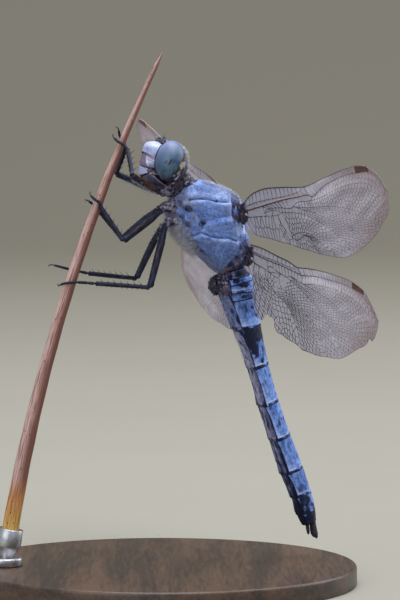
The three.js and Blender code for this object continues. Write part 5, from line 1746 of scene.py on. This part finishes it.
def spine_rows(start, end, radius, pitch, length, tilt, directions, rng):
    """Two rows of spines along a limb: roots on its surface every pitch, leaning towards its end by tilt."""
    start, end = np.array(start, float), np.array(end, float)
    total = np.linalg.norm(end - start)
    ahead = (end - start) / total
    count = int(total * (1 - 2 * SPINE_INSET) / pitch)
    share = SPINE_INSET + (1 - 2 * SPINE_INSET) * (np.arange(count) + 0.5) / count
    parts = []
    for direction in directions:
        out = unit(np.asarray(direction) - np.dot(direction, ahead) * ahead)
        roots = start + share[:, None] * (end - start) + out * radius * 0.85
        reach = length * rng.uniform(0.75, 1.1, count)[:, None] * (1 - 0.3 * share[:, None])
        tips = roots + (out + ahead * tilt + rng.normal(0, 0.07, (count, 3))) * reach
        parts.append(spikes(roots, tips, 0.044, -out * 0.02))
    return parts


def claws(path, side):
    """Two hooked claws at the foot's end, spread apart, each a tapering curve that turns down."""
    end, ahead = path[-1], unit(path[-1] - path[-8])
    aside = unit(np.cross(ahead, [0.2, 0.1, 1]))
    down = np.cross(aside, ahead) * side
    parts = []
    for spread in (1, -1):
        t = np.linspace(0, 1, 16)[:, None]
        hook = end + ahead * (0.42 * np.sin(t * 1.7)) + aside * spread * 0.16 * t + down * 0.3 * t**2
        parts.append(tube(hook, np.linspace(0.065, 0.012, 16), 8, aside + ahead * 0.1))
    return parts


def leg_part(name, parts, warm=0.0):
    """One joint of a leg as a piece of its own, browned evenly or by a value at each point."""
    for part in parts:
        count = len(part["verts"])
        part["values"].setdefault("warm", np.full((count, 1), float(warm)))
    piece(name, [placed(part, to_world) for part in parts], LEG, [name])


def legs():
    """Six legs, each a coxa, a ridged femur and tibia with two rows of spines, and a jointed foot."""
    for number, (name, leg) in enumerate(LEGS.items()):
        rng = np.random.default_rng(300 + number)
        hip, knee, side = np.array(leg["hip"]), np.array(leg["knee"]), leg["side"]
        path = foot_path(leg)
        ankle = path[0]
        socket = np.array([hip[0] - 0.1, 0.8 * hip[1], hip[2] + 1.4])
        bend = unit(np.cross(knee - hip, ankle - knee))
        fore = name.startswith("leg_fore")
        coxa = limb(socket, hip + (hip - socket) * 0.06, COXA_PROFILE, 48, bend, 60)
        middle = (socket + hip) / 2
        lumps = (0.1 * ripple(coxa["verts"], 0.8, 310 + number)
                 + 0.04 * ripple(coxa["verts"], 0.3, 320 + number))
        coxa["verts"] = coxa["verts"] + unit(coxa["verts"] - middle) * lumps[:, None]
        coxa["values"]["snow"] = 0.62 + 0.4 * ripple(coxa["verts"], 0.7, 330 + number)[:, None]
        leg_part(f"{name}_coxa", [coxa], 0.25)
        femur = limb(hip, knee, FEMUR_PROFILE, 30, bend, 90, 0.06, keel=0.05)
        share = (femur["verts"] - hip) @ (knee - hip) / ((knee - hip) @ (knee - hip))
        outer = ramp((femur["verts"] - hip) @ bend * np.sign(bend[1]) * side, 0.0, 0.2)
        stripe = (0.95 if fore else 0.45) * ramp(share, 0.1, 0.3) * (1 - ramp(share, 0.75, 0.98)) * outer
        femur["values"]["warm"] = (stripe + 0.55 * bell(share - 1.0, 0.035))[:, None]
        inner = unit(ankle - knee - (hip - knee))
        ways = [inner + 0.55 * bend, inner - 0.55 * bend]
        small = spine_rows(hip, knee, 0.4, 0.42, 0.2, 0.5, ways, rng)
        leg_part(f"{name}_femur", [femur] + small)
        tibia = limb(knee, ankle, TIBIA_PROFILE, 24, bend, 90, -0.04, keel=0.06)
        away = unit(hip - knee)
        rows = [away * 0.55 + bend * 0.8, away * 0.55 - bend * 0.8, -away + 0.5 * bend]
        long = spine_rows(knee, ankle, 0.23, 0.62, 0.74, 0.55, rows[:2], rng)
        long += spine_rows(knee, ankle, 0.23, 0.5, 0.22, 0.6, rows[2:], rng)
        leg_part(f"{name}_tibia", [tibia] + long)
        t = np.linspace(0, 1, len(path))
        joints = 1 - 0.3 * bell(t - 0.2, 0.025) - 0.3 * bell(t - 0.48, 0.025)
        radii = FOOT_RADIUS * (1.05 - 0.3 * t) * joints * np.minimum(1, 0.3 + 12 * np.minimum(t, 1 - t))
        foot = [tube(path, radii, 16, bend + 0.13, keel=0.03)] + claws(path, side)
        leg_part(f"{name}_tarsus", foot)


# ---- Hair ----------------------------------------------------------------------------------------

HAIR_DROOP = 0.15


def hair_on(points, normal, likely, count, length, stand, lie, width, rng):
    """Hairs rooted on a ringed skin where likely is high: each stands out by stand and lies along lie for
    the rest, varies in length by a quarter, and droops towards the lie. Its bake patch is at its root."""
    rings, sides = points.shape[:2]
    chance = np.maximum(likely, 0).ravel()
    picked = rng.choice(rings * sides, count, p=chance / chance.sum())
    roots = points.reshape(-1, 3)[picked]
    out = normal.reshape(-1, 3)[picked]
    flat = lie - (out @ lie)[:, None] * out
    way = unit(out * stand + unit(flat) * (1 - stand) + rng.normal(0, 0.13, (count, 3)))
    reach = (length * rng.uniform(0.6, 1.15, count))[:, None]
    bake = np.stack([picked // sides / rings, picked % sides / sides], -1)
    return spikes(roots - out * 0.02, roots + way * reach, width, out * HAIR_DROOP * reach * 0.5, bake)


def coats(thorax_shape, head_shape, segments, bulge):
    """The insect's hair: a short pale nap over the thorax, a longer white fringe beneath it and behind the
    head, and dark bristles on the bulge."""
    rng = np.random.default_rng(11)
    points, normal = thorax_shape
    along, up, across = points[..., 0], points[..., 2], np.abs(points[..., 1])
    back = np.array([-1.0, 0, 0.15])
    places, edges = np.array(HINGE_EDGE).T
    bald = (ramp(up - np.interp(along, places, edges), -0.1, 0.1) * ramp(across, 0.9, 1.3)
            * (1 - ramp(along, 2.7, 3.1)))
    cover = (1 - ramp(along, 4.3, 4.9)) * (1 - 0.97 * bald)
    for layer, (count, length, stand) in enumerate(((17000, 0.26, 0.22), (8000, 0.34, 0.45))):
        nap = hair_on(points, normal, cover, count, length, stand, back, 0.01, rng)
        piece(f"thorax_nap_{layer + 1}", [placed(nap, to_world)], BLUE_HAIR)
    low = ramp(-up, 2.4, 3.2) * ramp(-normal[..., 2], 0.5, 0.95) * (1 - 0.9 * ramp(along, 1.5, 2.5))
    fringe = hair_on(points, normal, low, 3600, 0.75, 0.75, np.array([-0.6, 0, -0.8]), 0.011, rng)
    collar_zone = ramp(along, 1.2, 3.0) * (1 - ramp(along, 4.5, 4.8)) * ramp(normal[..., 2], 0.3, 0.8)
    ruff = hair_on(points, normal, collar_zone, 1500, 0.34, 0.7, np.array([-0.6, 0, 0.6]), 0.01, rng)
    piece("thorax_fringe", [placed(part, to_world) for part in (fringe, ruff)], WHITE_HAIR)
    points, normal = head_shape
    rim = shell_rim(points)
    behind = (ramp(-points[..., 0], 0.2, 0.9) * bell(rim - 0.88, 0.14)
              * (0.03 + ramp(points[..., 2], -0.2, 0.6)))
    ruff = hair_on(points, normal, behind, 900, 0.4, 0.9, np.array([-1.0, 0, 0]), 0.011, rng)
    piece("head_fringe", [placed(ruff, head_to_world)], WHITE_HAIR)
    parts = []
    for number in (1, 2, 3, 4):
        points, normal, _ = segments[number]
        below = ramp(-normal[..., 2], 0.7, 0.98) * ramp(-points[..., 0], 4.9, 5.1)
        amount = {1: 60, 2: 60, 3: 380, 4: 240}[number]
        parts.append(hair_on(points, normal, below, amount, 0.26, 0.6, np.array([-1.0, 0, 0]), 0.009, rng))
    piece("abdomen_fringe", [placed(part, to_world) for part in parts], WHITE_HAIR)
    points, normal = bulge
    dark = hair_on(points, normal, ramp(-points[..., 2], 1.5, 2.0), 200, 0.24, 0.9, np.array([-1.0, 0, 0]),
                   0.016, rng)
    piece("genital_bristles", [placed(dark, to_world)], DARK_HAIR)


def face_hair():
    """Fine dark bristles on the forehead and the crown, and a white beard under the head."""
    rng = np.random.default_rng(12)
    _, points = ball((1.38, 0, 0.65), (1.14, 1.5, 0.98), 0, 60, 80)
    normal = outward(points)
    front = ramp(points[..., 0], 1.0, 1.6) * ramp(points[..., 2], 0.1, 0.4)
    bristles = hair_on(points, normal, front, 110, 0.2, 0.9, np.array([0, 0, 1.0]), 0.007, rng)
    _, points = ball((0.72, 0, 1.62), (0.5, 0.55, 0.5), 0, 40, 50)
    normal = outward(points)
    tuft = hair_on(points, normal, ramp(points[..., 2], 1.5, 1.9), 60, 0.3, 0.95, np.array([0, 0, 1.0]),
                   0.01, rng)
    piece("face_bristles", [placed(part, head_to_world) for part in (bristles, tuft)], DARK_HAIR)
    _, points = ball((0.12, 0, -2.0), (1.78, 1.72, 0.86), 0, 60, 80)
    normal = outward(points)
    under = ramp(-points[..., 2], 2.2, 2.6) * ramp(-points[..., 0], -0.2, 0.6)
    beard = hair_on(points, normal, under, 260, 0.5, 0.8, np.array([-1.0, 0, 0]), 0.011, rng)
    piece("beard", [placed(beard, head_to_world)], WHITE_HAIR)


def leg_hair():
    """A fringe of fine white hair under the fore femora and round every hip."""
    rng = np.random.default_rng(13)
    parts = []
    for name, leg in LEGS.items():
        hip, knee = np.array(leg["hip"]), np.array(leg["knee"])
        fore = name.startswith("leg_fore")
        count = 260 if fore else 60
        share = rng.uniform(0.05, 0.9 if fore else 0.3, count)
        around = unit(rng.normal(0, 0.6, (count, 3)) + [-0.5, 0, -1.0])
        ahead = unit(knee - hip)
        around = unit(around - (around @ ahead)[:, None] * ahead)
        roots = hip + share[:, None] * (knee - hip) + around * 0.38
        way = unit(around + rng.normal(0, 0.25, (count, 3)) + ahead * 0.2)
        tips = roots + way * rng.uniform(0.14, 0.36, (count, 1))
        bake = np.stack([share, rng.uniform(0, 1, count)], -1)
        parts.append(placed(spikes(roots, tips, 0.008, None, bake), to_world))
    piece("leg_fringe", parts, WHITE_HAIR)


# ---- Stand ---------------------------------------------------------------------------------------

BEVEL = 0.35
CUP_RADIUS, CUP_LIP, CUP_DEPTH = 1.3, 0.3, 1.5
CUP_PLAY, CUP_SOFTNESS = 0.06, 0.08
ROD_RADIUS, BOSS_RADIUS, BOSS_HEIGHT = 0.6, 1.8, 0.9
STAND_GAP = 0.1


def turned(profile, foot, axis, sides=160):
    """A profile of radius and height turned about an axis that rises from its foot."""
    profile = np.array(profile, float)
    axis = unit(np.array(axis, float))
    aside = unit(np.cross(axis, [0, 1, 0]))
    across = np.cross(axis, aside)
    turns = np.arange(sides) * TAU / sides
    spoke = aside * np.cos(turns)[:, None] + across * np.sin(turns)[:, None]
    return skin(np.array(foot) + profile[:, None, 1:] * axis + profile[:, None, :1] * spoke)


def rounded(low, high, radius, bevel):
    """The side of a disc between two heights with a quarter-round upper edge, as radius and height."""
    quarter = np.linspace(0, np.pi / 2, 7)
    edge = np.stack([radius - bevel + bevel * np.cos(quarter), high - bevel + bevel * np.sin(quarter)], -1)
    return [(radius * 0.5, low), (radius - 0.12, low), (radius, low + 0.12), *map(tuple, edge),
            (radius * 0.5, high)]


def stand():
    """The round wooden base, the boss on it, and the rod that follows the stem's cut end down to it and opens
    into a cup."""
    low, high = (np.array(corner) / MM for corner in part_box("stand_base"))
    radius, thickness = (high[0] - low[0]) / 2, high[2]
    centre = [(low[0] + high[0]) / 2, (low[1] + high[1]) / 2, 0]
    piece("stand_base", [turned(rounded(low[2], thickness, radius, BEVEL), centre, (0, 0, 1), 256)], WOOD,
          ["stand_base"])
    end, ahead, _ = stem_at(STEM_CUT)
    floor = end + ahead * STAND_GAP
    length = (floor[2] - thickness - STAND_GAP) / -ahead[2]
    bore = float(stem_radius(STEM_CUT)) + CUP_PLAY
    soft = CUP_SOFTNESS
    profile = [(0.05, -length), (ROD_RADIUS, -length), (ROD_RADIUS, -CUP_RADIUS - 0.05),
               (CUP_RADIUS - soft, -CUP_LIP - soft), (CUP_RADIUS, -CUP_LIP + soft),
               (CUP_RADIUS, CUP_DEPTH - soft), (CUP_RADIUS - soft, CUP_DEPTH),
               (bore + soft, CUP_DEPTH), (bore, CUP_DEPTH - soft), (bore, 0.05), (0.05, 0.02)]
    piece("stand_rod", [turned(profile, floor, -ahead, 96)], STEEL, ["stand_rod"])
    foot = floor + ahead * length
    boss = rounded(0.0, BOSS_HEIGHT, BOSS_RADIUS, 0.25)
    place = [foot[0], foot[1], thickness + 0.01]
    piece("stand_boss", [turned(boss, place, (0, 0, 1), 96)], STEEL, ["stand_boss"])


# ---- Build the model -----------------------------------------------------------------------------

thorax_shape = thorax()
segments = {number: segment(number) for number in range(1, 11)}
piece("abdomen_rims", [placed(segments[number][2], to_world) for number in range(1, 10)], SHELL)
tail()
bulge = genitalia()
wing("forewing_left", FORE)
wing("forewing_right", FORE)
wing("hindwing_left", HIND, TORN_REAR)
wing("hindwing_right", HIND)
eyes()
face()
mouth()
crown()
head_shape = back_of_head()
collar()
stem()
legs()
coats(thorax_shape, head_shape, segments, bulge)
face_hair()
leg_hair()
stand()


# ---- Stage, light and camera ---------------------------------------------------------------------

def backdrop():
    """A pale grey floor that curves up behind the model and turns to olive grey there: straight, then a
    quarter circle, then straight. Its sizes are in metres."""
    half, reach, rise, bend = 2.2, 1.1, 1.6, 0.5
    quarter = np.linspace(0, np.pi / 2, 24)
    curve = np.stack([reach - bend + bend * np.sin(quarter), bend - bend * np.cos(quarter)], -1)
    profile = np.vstack([[(-1.6, 0)], curve, [(reach, rise)]])
    verts = [(x, y, z) for x in (-half, half) for y, z in profile]
    count = len(profile)
    faces = [(i, count + i, count + i + 1, i + 1) for i in range(count - 1)]
    mesh = bpy.data.meshes.new("backdrop")
    mesh.from_pydata(verts, [], faces)
    mesh.polygons.foreach_set("use_smooth", [True] * len(faces))
    floor = bpy.data.objects.new("backdrop", mesh)
    bpy.context.scene.collection.objects.link(floor)
    material, wire, shader = new_finish("pale_grey_paper", {"Roughness": 0.85, "Specular IOR Level": 0.2})
    here = wire.place()
    pale = here.noise(60, 3).between(srgb(152, 148, 137), srgb(160, 156, 145))
    behind = here.node("SeparateXYZ", None, {"Vector": here}, 1).step(0.05, 0.65)
    feed(shader, {"Base Color": behind.between(pale, srgb(130, 125, 113))})
    mesh.materials.append(material)


CAMERA_TARGET = np.array([4.06, 1.5, 28.75]) * MM
CAMERA_DISTANCE, CAMERA_RISE = 0.38, 4.0
CAMERA_LENS = 224.6
SKY_COLOUR, SKY_STRENGTH = (0.84, 0.9, 1.0, 1.0), 0.48


def aim(thing, place, target):
    """Puts a camera or lamp at a place, looking at a target."""
    thing.location = place
    direction = np.array(target) - np.array(place)
    thing.rotation_euler = Vector(direction).to_track_quat("-Z", "Y").to_euler()


def camera():
    """The camera, a little above the level and looking at the middle of the insect."""
    data = bpy.data.cameras.new("camera")
    data.lens = CAMERA_LENS
    made = bpy.data.objects.new("camera", data)
    bpy.context.scene.collection.objects.link(made)
    rise = np.radians(CAMERA_RISE)
    aim(made, CAMERA_TARGET + CAMERA_DISTANCE * np.array([0, -np.cos(rise), np.sin(rise)]), CAMERA_TARGET)
    bpy.context.scene.camera = made


def lamp(name, place, size, power, colour, target=(0.005, 0, 0.032)):
    """A soft square lamp, aimed at the insect unless told otherwise."""
    data = bpy.data.lights.new(name, "AREA")
    data.size = size
    data.energy = power
    data.color = colour
    made = bpy.data.objects.new(name, data)
    bpy.context.scene.collection.objects.link(made)
    aim(made, place, target)


backdrop()
camera()
lamp("overhead", (0.1, -0.02, 0.62), 0.6, 4.6, (0.93, 0.96, 1.0))
lamp("front_left", (-0.45, -0.7, 0.4), 0.7, 2.6, (0.9, 0.94, 1.0))
lamp("rim_right", (0.6, 0.3, 0.35), 0.5, 2.2, (0.95, 0.97, 1.0))
lamp("wall", (0.0, 0.55, 1.3), 0.8, 4.5, (1.0, 0.98, 0.95), (0, 1.2, 0.25))
world = bpy.data.worlds.new("studio")
world.use_nodes = True
world.node_tree.nodes["Background"].inputs["Color"].default_value = SKY_COLOUR
world.node_tree.nodes["Background"].inputs["Strength"].default_value = SKY_STRENGTH
bpy.context.scene.world = world
bpy.context.scene.view_settings.view_transform = "Standard"
